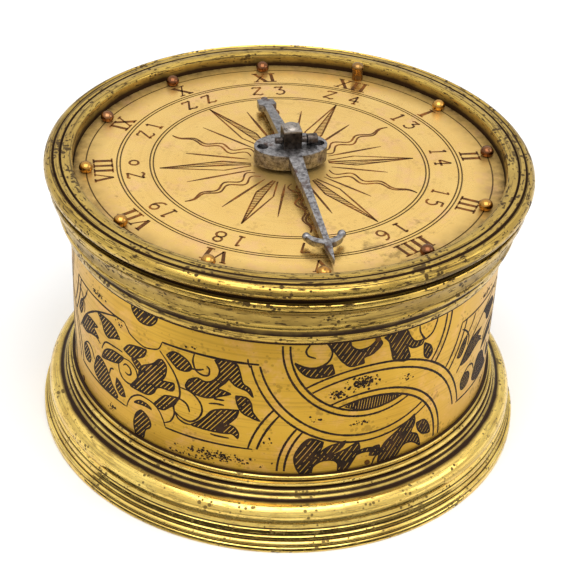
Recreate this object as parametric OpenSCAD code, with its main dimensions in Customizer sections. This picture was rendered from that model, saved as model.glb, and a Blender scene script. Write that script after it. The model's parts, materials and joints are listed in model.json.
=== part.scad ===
// Drum-shaped table clock with a horizontal dial, touch pins and one hour hand.
// The origin is the middle of the foot's underside, +Z is up and XII lies at +Y.

/* [Case] */
// Height from the table to the top of the rim
case_h = 43.6; // [43.4:0.1:47]
// Outside radius of the engraved band
band_r = 31.5; // [31.3:0.1:33]
// Thickness of the band
band_wall = 1.2; // [1:0.1:1.4]
// Height of the moulded rim above the band
rim_h = 10.9; // [10.5:0.1:12]
// How far the rim's roll stands out past the band
rim_out = 3.5; // [3.3:0.1:4.5]
// Height of the moulded foot below the band
foot_h = 10.2; // [9.8:0.1:10.6]
// How far the foot stands out past the band
foot_out = 5; // [4.6:0.1:6]
// Thickness of the hinged bottom cover
cover_t = 1; // [0.8:0.1:1.2]
// Radius of the bottom cover
cover_r = 28; // [27.6:0.1:28.2]

/* [Dial] */
// Radius of the dial plate
dial_r = 30.8; // [30.4:0.1:30.9]
// Thickness of the dial plate
dial_t = 1; // [0.8:0.1:1.1]
// Depth of the dial below the top of the rim
dial_depth = 2; // [1.8:0.1:2.4]
// Radius of the circle of touch pins
pin_ring_r = 29.1; // [29:0.1:29.3]
// Radius of a touch pin's head
pin_head_r = 1; // [0.8:0.05:1.05]
// Height of the eleven low touch pins
pin_head_h = 1.15; // [0.9:0.05:1.3]
// Height of the tall pin at XII
twelve_h = 2.8; // [2.4:0.1:3.1]

/* [Hand] */
// Reach of the hand from the centre to its tip
hand_tip = 27.7; // [26.5:0.1:27.8]
// Half length of the hand's oval boss, across the hand
boss_long = 5.3; // [4.8:0.1:6]
// Half width of the oval boss, along the hand
boss_short = 3.5; // [3.2:0.1:4]
// Thickness of the oval boss
boss_t = 2.3; // [2:0.1:2.6]
// Side of the square post in the middle of the hand
post_side = 2.6; // [2.2:0.1:2.7]
// Height of the square post above the boss
post_h = 2.75; // [2.4:0.1:3.2]
// Direction of the hand, in degrees clockwise from XII
hand_angle = 146.6; // [140:0.1:155]

/* [Movement] */
// Radius of the movement's two plates
plate_r = 27.6; // [27.2:0.1:27.8]
// Thickness of each plate
plate_t = 1.4; // [1.2:0.1:1.5]
// Thickest radius of a pillar
pillar_r = 1.6; // [1.3:0.1:1.7]
// Radius of the spring barrel
barrel_r = 9.3; // [8.8:0.1:9.5]
// Wall of the spring barrel
barrel_wall = 0.7; // [0.5:0.1:0.9]
// Radius of the fusee's large end
fusee_r = 9; // [8.6:0.1:9.2]
// Radius of the fusee's small end
fusee_top_r = 5.2; // [4.8:0.1:5.6]
// Number of gut grooves on the fusee
fusee_turns = 11; // [9:1:12]
// Radius of the gut line
gut_r = 0.35; // [0.25:0.05:0.4]
// Side of the square for the winding key
winding_side = 1.8; // [1.6:0.1:1.8]
// Radius of the balance wheel
balance_r = 8; // [7.4:0.1:8.2]

/* [Hidden] */
$fn = 48;
eps = 0.01;
run = 0.05;     // radial clearance of a turning fit
fit = 0.02;     // radial clearance of a fixed fit
gold = [0.82, 0.64, 0.28];
pale_gold = [0.9, 0.76, 0.42];
steel = [0.52, 0.5, 0.48];
gut_colour = [0.7, 0.55, 0.35];

// Heights of the case
foot_top = foot_h;
band_top = case_h - rim_h;
band_in = band_r - band_wall;
dial_top = case_h - dial_depth;
dial_low = dial_top - dial_t;
ledge_r = dial_r - 1.4;
ledge_t = 1.2;
rim_wall_in = band_in + 0.7;
spigot_h = 1.6;
spigot_wall = 0.9;
pin_r = 0.4;
seam_pin_gap = 0.6;     // seam pins sit this far from the band's edge
seam_angle = -46;
cover_gap = 0.3;
cover_inset = 0.5;
cover_top = cover_inset + cover_t;

// Hinge of the bottom cover
knuckle_r = 0.85;
hinge_z = 0.95;
hinge_y = cover_r + 1.6;
hinge_pin_r = 0.4;
leaf_half = 2.3;
knuckle_half = 5.3;
notch_half = 5.6;
notch_back = hinge_y + 1.4;

// Levels of the movement, which hangs from the dial and fills the case down to its shelf
motion_gap = 3.6;
top_z1 = dial_low - motion_gap;
top_z0 = top_z1 - plate_t;
shelf_top = foot_top + spigot_h;
shelf_gap = 0.2;        // the lower plate hangs this far above its shelf
low_z0 = shelf_top + shelf_gap;
low_z1 = low_z0 + plate_t;
wheel_gap = 0.5;
wheel_t = 0.7;
great_t = 1.1;
ratchet_t = 0.9;
click_t = 0.8;
second_z1 = top_z0 - 0.7;
second_z0 = second_z1 - wheel_t;
great_z1 = second_z0 - wheel_gap;
great_z0 = great_z1 - great_t;
fusee_z1 = great_z0 - 0.3 - ratchet_t;
fusee_z0 = low_z1 + 4;
snail_t = 1;
barrel_z0 = low_z1 + 4.2;
barrel_z1 = great_z1 - 0.5;
crown_z = low_z1 + 4.6;

// Wheel counts and modules
great_n = 54;
pinion_n = 6;
second_n = 48;
contrate_n = 36;
hour_n = 48;
motion_n = 8;
crown_n = 17;
ratchet_n = 24;
great_m = 0.38;
second_m = 0.34;
motion_m = 0.5;
contrate_r = 5.76;
crown_pinion_r = contrate_r * pinion_n / contrate_n;
crown_r = 4;

// Places of the arbors, seen from above
function polar(r, a) = [r * cos(a), r * sin(a)];
second_dir = -70;
contrate_dir = 10;
crown_dir = -18;
hour_reach = motion_m * (hour_n + motion_n) / 2;
fusee_at = [-hour_reach, 0];
second_at = fusee_at + polar(great_m * (great_n + pinion_n) / 2, second_dir);
contrate_at = second_at + polar(second_m * (second_n + pinion_n) / 2, contrate_dir);
verge_distance = 12.95;
verge_at = contrate_at + polar(verge_distance, crown_dir);
barrel_at = [8.5, 10.5];
pull = barrel_at - fusee_at;
pull_dir = atan2(pull[1], pull[0]);

// Arbors
pivot_r = 0.45;
arbor_r = 0.6;
pipe_r = 1.25;
fusee_pivot_r = 0.75;
fusee_arbor_r = winding_side * 0.71 + 0.04;
barrel_arbor_r = 1.2;
hand_arbor_r = post_side * 0.71 + 0.05;

// Fastenings near the edge of the plates
pillar_inset = 3.1;
pillar_ring_r = plate_r - pillar_inset;
pillar_angles = [25, 115, 205, 295];
foot_inset = 2.6;
foot_ring_r = plate_r - foot_inset;
foot_angles = [75, 228, 335];
foot_r = 0.9;
tenon_r = 0.6;
cross_pin_r = 0.22;
latch_inset = 2.7;
latch_ring_r = plate_r - latch_inset;
latch_angles = [92, 252];
latch_t = 0.8;
latch_z0 = low_z0 - 2.1;
shelf_z0 = latch_z0 + latch_t + 0.1;
shelf_r = plate_r + 0.7;
latch_reach = shelf_r + 0.6 - latch_ring_r;

// Levels of the balance below the bottom plate
balance_t = 0.7;
balance_z1 = low_z0 - 2.1;
balance_z0 = balance_z1 - balance_t;
cock_t = 1;
cock_z1 = balance_z0 - 0.8;
cock_z0 = cock_z1 - cock_t;
cock_dir = 120;
cock_clear = 2.8;       // the cock's screw stands this far outside the balance
cock_reach = balance_r + cock_clear;
regulator_dir = 30;
bristle_ring_r = 5;
bristle_angle = 50;

// Shared shapes
module disc(r, z0, z1, hole = 0) {
    translate([0, 0, z0]) linear_extrude(z1 - z0) difference() {
        circle(r);
        if (hole > 0) circle(hole);
    }
}

module at(place, turn = 0) {
    translate([place[0], place[1], 0]) rotate([0, 0, turn]) children();
}

module around(r, angles) {
    for (a = angles) at(polar(r, a), a) children();
}

// Outline of a wheel with n tapered teeth, the first of them on the X axis
function tooth_ring(n, root, tip, root_share, tip_share) = [
    for (k = [0:n - 1]) for (corner = [[root, -root_share], [tip, -tip_share], [tip, tip_share], [root, root_share]])
        polar(corner[0], (k + corner[1] / 2) * 360 / n)
];

module toothed(n, m, add, ded, root_share, tip_share) {
    polygon(tooth_ring(n, m * (n / 2 - ded), m * (n / 2 + add), root_share, tip_share));
}

module wheel_teeth(n, m) {
    toothed(n, m, 0.95, 1.25, 0.5, 0.16);
}

module pinion_teeth(n, m) {
    toothed(n, m, 0.6, 1.25, 0.42, 0.12);
}

// A wheel that is pierced to leave a rim, a hub and four crossings
module crossed(rim, hub, arm) {
    difference() {
        children();
        difference() {
            circle(rim);
            circle(hub);
            square([2 * rim, arm], center = true);
            square([arm, 2 * rim], center = true);
        }
    }
}

// Saw-toothed ratchet whose steep faces look clockwise
module ratchet_teeth(r_out, r_in) {
    polygon([
        for (k = [0:ratchet_n - 1]) for (corner = [[r_out, 0], [r_in, 1]])
            polar(corner[0], (k + corner[1]) * 360 / ratchet_n)
    ]);
}

// A click for a ratchet of this radius at the origin, its nose this far past the steep face
click_pivot = [1.05, -3.4];
module click_outline(r_out, nose) {
    translate([r_out - 0.2, 0]) difference() {
        union() {
            polygon([[0.45 + nose, -1.4], [0.5, -3.2], [1.7, -3.2], [1.4, -1.6], [0.5 + nose, -0.02], [nose, -0.06]]);
            translate(click_pivot) circle(0.85);
        }
        translate(click_pivot) circle(pivot_r + run);
    }
}

// The blade spring behind a click, with the block that carries it standing up to z1
module click_spring(r_out, z0, z1) {
    translate([r_out - 0.2, 0, z0]) {
        linear_extrude(click_t) polygon([[1.55, -1.3], [1.75, -1.3], [2.1, 1.3], [1.9, 1.3]]);
        linear_extrude(z1 - z0) translate([1.6, 1.2]) square([1.2, 1.4]);
    }
}

// The pin that a click turns on, from its head at z0 up to z1
module click_pin(r_out, z0, z1, head_t) {
    translate([r_out - 0.2 + click_pivot[0], click_pivot[1], 0]) {
        disc(pivot_r, z0, z1);
        disc(0.75, z0, z0 + head_t);
    }
}

/* The case */

// Points of the rim's moulding, in shares of its projection and height
function rim_at(a, b) = [band_r + a * rim_out, case_h - b * rim_h];
function roll(a, b, da, db, from, to) = [
    for (i = [0:8]) let (t = from + (to - from) * i / 8) rim_at(a + da * cos(t), b - db * sin(t))
];

module top_rim() {
    roll_points = roll(0.69, 0.095, 0.31, 0.095, 80, -85);
    bead_points = roll(0.42, 0.69, 0.08, 0.045, 60, -90);
    cavetto_points = roll(0.84, 0.635, 0.37, 0.25, 100, 180);
    lip_r = dial_r + 0.1;
    color(gold) difference() {
        rotate_extrude($fn = 96) polygon(concat(
            [[ledge_r, dial_low], [lip_r, dial_low], [lip_r, case_h - 0.45], [lip_r + 0.15, case_h - 0.15]],
            [[lip_r + 0.5, case_h], rim_at(0.27, 0), rim_at(0.33, 0.024), rim_at(0.39, 0)],
            [rim_at(0.57, 0), rim_at(0.63, 0.028)], roll_points,
            [rim_at(0.6, 0.205), rim_at(0.6, 0.262), rim_at(0.81, 0.27), rim_at(0.83, 0.345)],
            [rim_at(0.74, 0.353), rim_at(0.74, 0.37), rim_at(0.79, 0.381)], cavetto_points, bead_points,
            [rim_at(0.29, 0.74), rim_at(0.21, 0.81), rim_at(0.21, 0.855), rim_at(0.23, 0.862)],
            [rim_at(0.23, 0.945), rim_at(0.13, 0.96), rim_at(0.12, 1), [band_in - fit, band_top]],
            [[band_in - fit, band_top - spigot_h], [band_in - spigot_wall, band_top - spigot_h]],
            [[band_in - spigot_wall, band_top + 0.9], [rim_wall_in, band_top + 1.8]],
            [[rim_wall_in, dial_low - ledge_t - 1], [ledge_r, dial_low - ledge_t]]
        ));
        seam_holes(band_top - seam_pin_gap);
    }
}

module seam_holes(z) {
    around(band_in, [for (k = [0:3]) seam_angle + 90 * k])
        translate([-2.5, 0, z]) rotate([0, 90, 0]) cylinder(r = pin_r + fit, h = 5);
}

module case_band() {
    color(gold) difference() {
        disc(band_r, foot_top, band_top, band_in, $fn = 96);
        seam_holes(band_top - seam_pin_gap);
        seam_holes(foot_top + seam_pin_gap);
    }
}

module case_pins() {
    color(steel) for (z = [band_top - seam_pin_gap, foot_top + seam_pin_gap])
        around(band_r, [for (k = [0:3]) seam_angle + 90 * k]) translate([-band_wall - spigot_wall, 0, z])
            rotate([0, 90, 0]) cylinder(r = pin_r, h = band_wall + spigot_wall + 0.1, $fn = 24);
}

// Points of the foot's moulding, in shares of its projection and height below the band
function foot_at(a, b) = [band_r + a * foot_out, foot_h * (1 - b)];
function foot_arc(a, b, da, db, from, to) = [
    for (i = [0:8]) let (t = from + (to - from) * i / 8) foot_at(a + da * cos(t), b - db * sin(t))
];

module base_ring() {
    cover_hole = cover_r + cover_gap;
    hollow_r = band_in - spigot_wall;
    ledge_in = cover_r - 1.1;
    color(gold) {
        difference() {
            rotate_extrude($fn = 96) polygon(concat(
                [[ledge_in, cover_top + run], [cover_hole, cover_top + run], [cover_hole, 0]],
                [[band_r + foot_out - 0.15, 0], foot_at(1, 0.015 + 0.97), foot_at(1, 0.92), foot_at(0.95, 0.907)],
                foot_arc(0.94, 0.862, 0.055, 0.035, -80, 80), [foot_at(0.88, 0.814), foot_at(0.91, 0.804)],
                [foot_at(0.9, 0.75), foot_at(0.82, 0.735), foot_at(0.86, 0.725), foot_at(0.85, 0.657)],
                [foot_at(0.78, 0.642), foot_at(0.82, 0.627)], foot_arc(0.46, 0.5, 0.35, 0.172, 0, 90),
                [foot_at(0.4, 0.318), foot_at(0.4, 0.304), foot_at(0.32, 0.275), foot_at(0.3, 0.245)],
                foot_arc(0.22, 0.215, 0.06, 0.025, -70, 80), [foot_at(0.14, 0.172), foot_at(0.14, 0.147)],
                [foot_at(0.22, 0.132), foot_at(0.2, 0.088), foot_at(0.08, 0.078), foot_at(0.08, 0.069)],
                [foot_at(0.12, 0.059), foot_at(0.12, 0.01), foot_at(0.08, 0), [band_in - fit, foot_top]],
                [[band_in - fit, shelf_top], [shelf_r, shelf_top], [shelf_r, shelf_z0], [hollow_r, shelf_z0]],
                [[hollow_r, cover_top + 2.4], [ledge_in, cover_top + 1.6]]
            ));
            seam_holes(foot_top + seam_pin_gap);
            translate([-notch_half, cover_r - 2, -eps]) cube([2 * notch_half, notch_back - cover_r + 2, hinge_z + 1.15]);
        }
        difference() {
            for (side = [0, 1]) mirror([side, 0, 0]) translate([leaf_half + 0.2, hinge_y, hinge_z]) {
                rotate([0, 90, 0]) cylinder(r = knuckle_r, h = knuckle_half - leaf_half - 0.2, $fn = 32);
                translate([0, 0, 0.15]) cube([knuckle_half - leaf_half - 0.2, 1.6, knuckle_r - 0.15]);
            }
            hinge_bore();
        }
    }
}

module hinge_bore() {
    translate([-knuckle_half - 1, hinge_y, hinge_z]) rotate([0, 90, 0])
        cylinder(r = hinge_pin_r + run, h = 2 * knuckle_half + 2, $fn = 32);
}

module base_cover() {
    color(gold) difference() {
        union() {
            disc(cover_r, cover_inset, cover_top, $fn = 96);
            translate([-leaf_half, cover_r - 1, cover_inset]) cube([2 * leaf_half, hinge_y - cover_r + 1, cover_t - 0.2]);
            translate([-leaf_half, hinge_y, hinge_z]) rotate([0, 90, 0])
                cylinder(r = knuckle_r, h = 2 * leaf_half, $fn = 32);
        }
        hinge_bore();
        for (r = [cover_r - 2, cover_r - 2.8, cover_r / 3]) translate([0, 0, cover_inset - eps])
            linear_extrude(0.15) difference() {
                circle(r);
                circle(r - 0.25);
            }
        translate([0, -cover_r - 0.4, cover_inset - eps]) cylinder(r = 1.6, h = cover_t / 2);
    }
}

module cover_hinge_pin() {
    color(steel) translate([-knuckle_half, hinge_y, hinge_z]) rotate([0, 90, 0])
        cylinder(r = hinge_pin_r, h = 2 * knuckle_half, $fn = 24);
}

/* The dial and the hand */

line_w = 0.22;
line_depth = 0.1;
hour_ring_r = 24.73;
inner_ring_r = 20.03;
line_pair = 0.48;

module dial_plate() {
    color(pale_gold) difference() {
        disc(dial_r, dial_low, dial_top, hand_arbor_r + run, $fn = 96);
        for (r = [pin_ring_r, hour_ring_r, hour_ring_r - line_pair, inner_ring_r, inner_ring_r - line_pair])
            translate([0, 0, dial_top - line_depth]) linear_extrude(1) difference() {
                circle(r + line_w / 2, $fn = 96);
                circle(r - line_w / 2, $fn = 96);
            }
        around(pin_ring_r, [for (k = [0:11]) 90 - 30 * k]) translate([0, 0, dial_low - eps])
            cylinder(r = pivot_r + fit, h = dial_t + 1, $fn = 24);
    }
}

module touch_pins() {
    color(gold) around(pin_ring_r, [for (k = [1:11]) 90 - 30 * k]) translate([0, 0, dial_top]) {
        rotate_extrude($fn = 32) polygon(concat(
            [[0, 0], [pin_head_r * 0.86, 0]],
            [for (i = [0:8]) [pin_head_r * cos(i * 11.25), pin_head_h * (0.25 + 0.75 * sin(i * 11.25))]]
        ));
        translate([0, 0, -dial_t]) cylinder(r = pivot_r, h = dial_t + eps, $fn = 24);
    }
}

module twelve_pin() {
    color(gold) translate([0, pin_ring_r, dial_top]) {
        rotate_extrude($fn = 32) polygon(concat(
            [[0, 0], [pin_head_r * 0.8, 0], [pin_head_r * 0.62, twelve_h - 1.3 * pin_head_r]],
            [for (i = [0:8]) [pin_head_r * 0.92 * cos(-30 + i * 15),
                twelve_h + pin_head_r * (-0.75 + 0.75 * sin(-30 + i * 15))]]
        ));
        translate([0, 0, -dial_t]) cylinder(r = pivot_r, h = dial_t + eps, $fn = 24);
    }
}

module dial_feet() {
    color(gold) around(foot_ring_r, foot_angles) difference() {
        union() {
            disc(foot_r, top_z1, dial_low);
            disc(tenon_r, top_z0 - 0.9, top_z1 + eps);
        }
        cross_hole(top_z0 - 0.35);
    }
}

module cross_hole(z) {
    translate([-2, 0, z]) rotate([0, 90, 0]) cylinder(r = cross_pin_r + fit, h = 4, $fn = 24);
}

module cross_pin(z) {
    translate([-1.3, 0, z]) rotate([0, 90, 0]) cylinder(r = cross_pin_r, h = 2.6, $fn = 24);
}

module dial_foot_pins() {
    color(steel) around(foot_ring_r, foot_angles) cross_pin(top_z0 - 0.35);
}

hand_low = dial_top + 0.75;
boss_top = hand_low + boss_t;
post_top = boss_top + post_h;
arm_top = boss_top - 0.1;
arm_t = 1.3;
tail_t = 1.15;
anchor_t = 0.9;
tip_top = dial_top + 1.35;
arm_slope = atan((arm_top - tip_top) / (hand_tip - boss_short));
anchor_r = 2.5;
anchor_at = hand_tip - 6.8;     // middle of the anchor's crescent
anchor_side = 75;
ball_r = 0.6;
tail_reach = 17.4;
tail_top = dial_top + 1.6;
tail_slope = atan((arm_top - tail_top) / (tail_reach - boss_short));
tail_turn = 1.5;
hand_pin_r = 0.48;
hand_pin_head_r = 0.75;
hand_pin_z = boss_top + hand_pin_head_r + fit;

function oval(a, b) = [for (i = [0:47]) [a * cos(i * 7.5), b * sin(i * 7.5)]];

function crescent(side, from, to) = [
    for (i = [0:12]) let (a = from + (to - from) * i / 12) polar(anchor_r + side * (0.2 + 0.3 * cos(a)), a)
];

// The hand points along +X here, and its arm and tail lean down from the top of the boss
module leaning(x, slope) {
    translate([x, 0, arm_top]) rotate([0, slope, 0]) translate([-x, 0, 0]) children();
}

module arm_outline() {
    polygon([[boss_short - 1.2, -1.03], [boss_short + 6, -0.75], [boss_short + 6, 0.75], [boss_short - 1.2, 1.03]]);
    polygon([[boss_short + 5.8, -0.62], [anchor_at + anchor_r, -0.38], [anchor_at + anchor_r, 0.38],
        [boss_short + 5.8, 0.62]]);
}

module anchor_outline() {
    translate([anchor_at, 0])
        polygon(concat(crescent(1, -anchor_side, anchor_side), crescent(-1, anchor_side, -anchor_side)));
    polygon([[anchor_at + anchor_r, -0.55], [anchor_at + 4.4, -0.35], [hand_tip, 0], [anchor_at + 4.4, 0.35],
        [anchor_at + anchor_r, 0.55]]);
}

module tail_outline() {
    polygon([[-tail_reach + 3, -0.6], [-boss_short + 0.5, -0.95], [-boss_short + 0.5, 0.95], [-tail_reach + 3, 0.6]]);
    polygon([[-tail_reach + 0.8, -1.2], [-tail_reach + 2.8, -1.35], [-tail_reach + 3.1, -0.5],
        [-tail_reach + 3.1, 0.5], [-tail_reach + 2.8, 1.35], [-tail_reach + 0.8, 1.2]]);
    translate([-tail_reach + 0.5, 0]) circle(0.5);
}

module hour_hand() {
    color(steel) rotate([0, 0, 90 - hand_angle]) difference() {
        union() {
            translate([0, 0, hand_low]) linear_extrude(boss_t) polygon(oval(boss_short, boss_long));
            leaning(boss_short, arm_slope) {
                translate([0, 0, -arm_t]) linear_extrude(arm_t) arm_outline();
                translate([0, 0, -anchor_t]) linear_extrude(anchor_t - eps) anchor_outline();
                for (side = [-1, 1]) translate([anchor_at, 0, -anchor_t / 2]) rotate([0, 0, side * anchor_side])
                    translate([anchor_r, 0, 0]) sphere(ball_r);
            }
            rotate([0, 0, tail_turn]) leaning(-boss_short, -tail_slope)
                translate([0, 0, -tail_t]) linear_extrude(tail_t) tail_outline();
        }
        translate([0, 0, hand_low - 1]) linear_extrude(boss_t + 2) square(post_side + 2 * fit, center = true);
        for (side = [-1, 1]) translate([0, side * (boss_long - 1.2), boss_top - 1.3]) cylinder(r = 0.8, h = 2);
    }
}

module hand_arbor() {
    color(steel) rotate([0, 0, 90 - hand_angle]) difference() {
        union() {
            disc(hand_arbor_r, top_z1 + eps, hand_low - 0.3);
            disc(pivot_r * 2, top_z0, top_z1 + 2 * eps);
            disc(hand_arbor_r + 0.7, dial_top + 0.15, hand_low);
            translate([0, 0, hand_low - 0.4]) linear_extrude(post_top - hand_low + 0.4) square(post_side, center = true);
            translate([0, 0, post_top - eps]) rotate_extrude($fn = 32) polygon(concat([[0, 0]],
                [for (i = [0:8]) [post_side / 2 * cos(i * 11.25), 0.6 * sin(i * 11.25)]]));
        }
        translate([0, 0, hand_pin_z]) rotate([90, 0, 0])
            cylinder(r = hand_pin_r + fit, h = 2 * post_side, center = true, $fn = 24);
    }
}

module hand_pin() {
    color(steel) rotate([0, 0, 90 - hand_angle]) translate([0, 0, hand_pin_z]) rotate([-90, 0, 0]) {
        translate([0, 0, -post_side / 2 - 1]) cylinder(r = hand_pin_r, h = post_side + 2.2, $fn = 24);
        translate([0, 0, post_side / 2 + 1]) cylinder(r = hand_pin_head_r, h = 1.5, $fn = 24);
    }
}

hour_z0 = top_z1 + 1;
hour_z1 = hour_z0 + 0.8;

module hour_wheel() {
    color(gold) difference() {
        union() {
            translate([0, 0, hour_z0]) linear_extrude(hour_z1 - hour_z0) rotate(180)
                crossed(motion_m * (hour_n / 2 - 3), 4, 1.4) wheel_teeth(hour_n, motion_m);
            disc(3, top_z1 + 0.15, hour_z1 + 0.2);
        }
        disc(hand_arbor_r + run, 0, case_h);
    }
}

// A dished spring washer that drives the hand by friction
module hand_spring() {
    color(steel) translate([0, 0, hour_z1 + 0.22]) rotate_extrude() polygon([
        [hand_arbor_r + fit, 0], [2.7, 0], [3.2, 0.3], [3.2, 0.5], [2.7, 0.22], [hand_arbor_r + fit, 0.22]
    ]);
}

/* The frame of the movement */

module top_plate() {
    color(gold) difference() {
        disc(plate_r, top_z0, top_z1, $fn = 96);
        hole(fusee_at, pipe_r + run);
        hole(second_at, pivot_r + run);
        hole(contrate_at, pivot_r + run);
        hole(barrel_at, barrel_arbor_r + run);
        hole([0, 0], pivot_r * 2 + run);
        around(pillar_ring_r, pillar_angles) hole([0, 0], tenon_r + fit);
        around(foot_ring_r, foot_angles) hole([0, 0], tenon_r + fit);
    }
}

module hole(place, r) {
    at(place) disc(r, low_z0 - 5, top_z1 + 5);
}

module bottom_plate() {
    color(gold) difference() {
        disc(plate_r, low_z0, low_z1, $fn = 96);
        hole(fusee_at, fusee_arbor_r + run);
        hole(second_at, pivot_r + run);
        hole(contrate_at, pivot_r + run);
        hole(barrel_at, barrel_arbor_r + run);
        hole(verge_at, verge_hole_r);
        hole(cock_at, pivot_r + fit);
        around(pillar_ring_r, pillar_angles) hole([0, 0], tenon_r + fit);
        around(latch_ring_r, latch_angles) hole([0, 0], tenon_r + fit);
    }
}

module pillars() {
    ring_h = 1.1;
    middle = (low_z1 + top_z0) / 2;
    color(gold) around(pillar_ring_r, pillar_angles) difference() {
        union() {
            disc(tenon_r, low_z0 - 1, top_z1);
            rotate_extrude() polygon([
                [0, low_z1], [pillar_r, low_z1], [pillar_r, low_z1 + ring_h], [pillar_r * 0.6, low_z1 + 2 * ring_h],
                [pillar_r * 0.75, middle - ring_h], [pillar_r, middle - ring_h / 2], [pillar_r, middle + ring_h / 2],
                [pillar_r * 0.75, middle + ring_h], [pillar_r * 0.6, top_z0 - 2 * ring_h],
                [pillar_r, top_z0 - ring_h], [pillar_r, top_z0], [0, top_z0]
            ]);
        }
        cross_hole(low_z0 - 0.45);
    }
}

module plate_pins() {
    color(steel) around(pillar_ring_r, pillar_angles) cross_pin(low_z0 - 0.45);
}

// Two turning latches hold the movement under the shelf in the foot
module latch_arm() {
    color(steel) translate([0, 0, latch_z0]) linear_extrude(latch_t) difference() {
        union() {
            circle(1.5);
            translate([0, -0.9]) square([latch_reach - 0.5, 1.8]);
            translate([latch_reach - 0.9, 0]) circle(0.9);
        }
        circle(tenon_r + run);
    }
}

module latches_front() {
    around(latch_ring_r, [latch_angles[1]]) latch_arm();
}

module latches_back() {
    around(latch_ring_r, [latch_angles[0]]) latch_arm();
}

module latch_posts() {
    color(steel) around(latch_ring_r, latch_angles) {
        disc(tenon_r, latch_z0 - run, low_z1);
        disc(1.3, latch_z0 + latch_t + run, low_z0);
        disc(1.2, latch_z0 - 0.5, latch_z0 - run);
    }
}

/* The spring barrel */

module barrel() {
    color(gold) at(barrel_at) rotate_extrude($fn = 96) polygon([
        [barrel_arbor_r + run, barrel_z1 - 1], [barrel_arbor_r + run, barrel_z1], [barrel_r, barrel_z1],
        [barrel_r, barrel_z0], [barrel_r - barrel_wall / 2, barrel_z0], [barrel_r - barrel_wall / 2, barrel_z0 + 0.9],
        [barrel_r - barrel_wall, barrel_z0 + 0.9], [barrel_r - barrel_wall, barrel_z1 - 1],
    ]);
}

module barrel_cap() {
    color(gold) at(barrel_at)
        disc(barrel_r - barrel_wall / 2 - fit, barrel_z0, barrel_z0 + 0.88, barrel_arbor_r + run, $fn = 96);
}

spring_core_r = 2.1;
spring_turns = 7;

// A flat spiral strip; its outer end lies against the barrel's wall
module mainspring() {
    steps = 24 * spring_turns;
    start_r = spring_core_r + 0.3;
    pitch = (barrel_r - barrel_wall - 0.35 - start_r) / spring_turns;
    line = [for (i = [0:steps]) [start_r + pitch * i / 24, i * 15]];
    color(steel) at(barrel_at) translate([0, 0, barrel_z0 + 1.3]) linear_extrude(barrel_z1 - barrel_z0 - 2.8)
        polygon(concat([for (p = line) polar(p[0], p[1])], [for (i = [steps:-1:0]) polar(line[i][0] + 0.25, line[i][1])]));
}

setup_z1 = low_z0 - 0.15;

module barrel_arbor() {
    color(steel) at(barrel_at) {
        disc(barrel_arbor_r, setup_z1 - ratchet_t - 0.3, top_z1);
        disc(spring_core_r, barrel_z0 + 1.2, barrel_z1 - 1.3);
    }
}

setup_r = 4.2;
setup_in = 3.6;
setup_turn = 75;

module barrel_ratchet() {
    color(steel) at(barrel_at, setup_turn) translate([0, 0, setup_z1 - ratchet_t]) linear_extrude(ratchet_t)
        difference() {
            ratchet_teeth(setup_r, setup_in);
            circle(barrel_arbor_r + fit);
        }
}

module barrel_click() {
    color(steel) at(barrel_at, setup_turn) translate([0, 0, setup_z1 - ratchet_t]) linear_extrude(click_t)
        click_outline(setup_r, -0.22);
}

module barrel_click_spring() {
    color(steel) at(barrel_at, setup_turn) click_spring(setup_r, setup_z1 - ratchet_t, low_z0);
}

module barrel_click_screw() {
    color(steel) at(barrel_at, setup_turn) click_pin(setup_r, setup_z1 - ratchet_t - 0.5, low_z0, 0.45);
}

/* The fusee and the great wheel */

module fusee() {
    groove_pitch = (fusee_z1 - fusee_z0 - 1.6) / fusee_turns;
    function cone(z) = let (t = (z - fusee_z0) / (fusee_z1 - fusee_z0))
        fusee_top_r + (fusee_r - fusee_top_r) * (0.45 * t + 0.55 * t * t);
    grooves = [for (i = [0:fusee_turns - 1], step = [0:2]) let (z = fusee_z0 + 0.8 + (i + step / 3) * groove_pitch)
        [cone(z) - (step == 1 ? 2 : 1) * gut_r * 0.9 + gut_r * 0.9, z]];
    color(gold) at(fusee_at) difference() {
        union() {
            rotate_extrude($fn = 96) polygon(concat(
                [[0, fusee_z0], [cone(fusee_z0), fusee_z0]], grooves,
                [[fusee_r, fusee_z1 - 0.8], [fusee_r, fusee_z1], [0, fusee_z1]]
            ));
            translate([0, 0, fusee_z0 - snail_t]) linear_extrude(snail_t + eps) {
                circle(fusee_top_r - 0.3);
                rotate(160) polygon([[0, -2], [fusee_r - 0.1, -1], [fusee_r - 0.1, 0.8], [0, 3]]);
            }
        }
        disc(fusee_arbor_r + fit, low_z0, top_z1);
    }
}

winding_low = cock_z0 + 0.2;

module fusee_arbor() {
    color(steel) at(fusee_at) {
        disc(fusee_arbor_r, low_z0 - 0.3, great_z0 - 0.05);
        disc(fusee_pivot_r, great_z0 - 0.06, hour_z1 + 0.6);
        translate([0, 0, winding_low]) linear_extrude(low_z0 - 0.3 + eps - winding_low)
            square(winding_side, center = true);
    }
}

click_ring_r = 4.4;
great_click_turn = 60;

module fusee_ratchet() {
    color(steel) at(fusee_at, great_click_turn) mirror([0, 1, 0]) translate([0, 0, fusee_z1]) linear_extrude(ratchet_t)
        difference() {
            ratchet_teeth(click_ring_r, click_ring_r - 0.6);
            circle(fusee_arbor_r + fit);
        }
}

module great_wheel() {
    color(gold) at(fusee_at) difference() {
        union() {
            translate([0, 0, great_z0]) linear_extrude(great_t) rotate(second_dir) wheel_teeth(great_n, great_m);
            disc(pipe_r, great_z1 - eps, hour_z0 - 0.3);
        }
        disc(fusee_pivot_r + run, 0, case_h);
    }
}

module motion_pinion() {
    color(steel) at(fusee_at) translate([0, 0, hour_z0 - 0.3]) linear_extrude(hour_z1 - hour_z0 + 0.6) difference() {
        rotate(180 / motion_n) pinion_teeth(motion_n, motion_m);
        circle(fusee_pivot_r + run);
    }
}

great_click_z0 = great_z0 - run - click_t;

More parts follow.
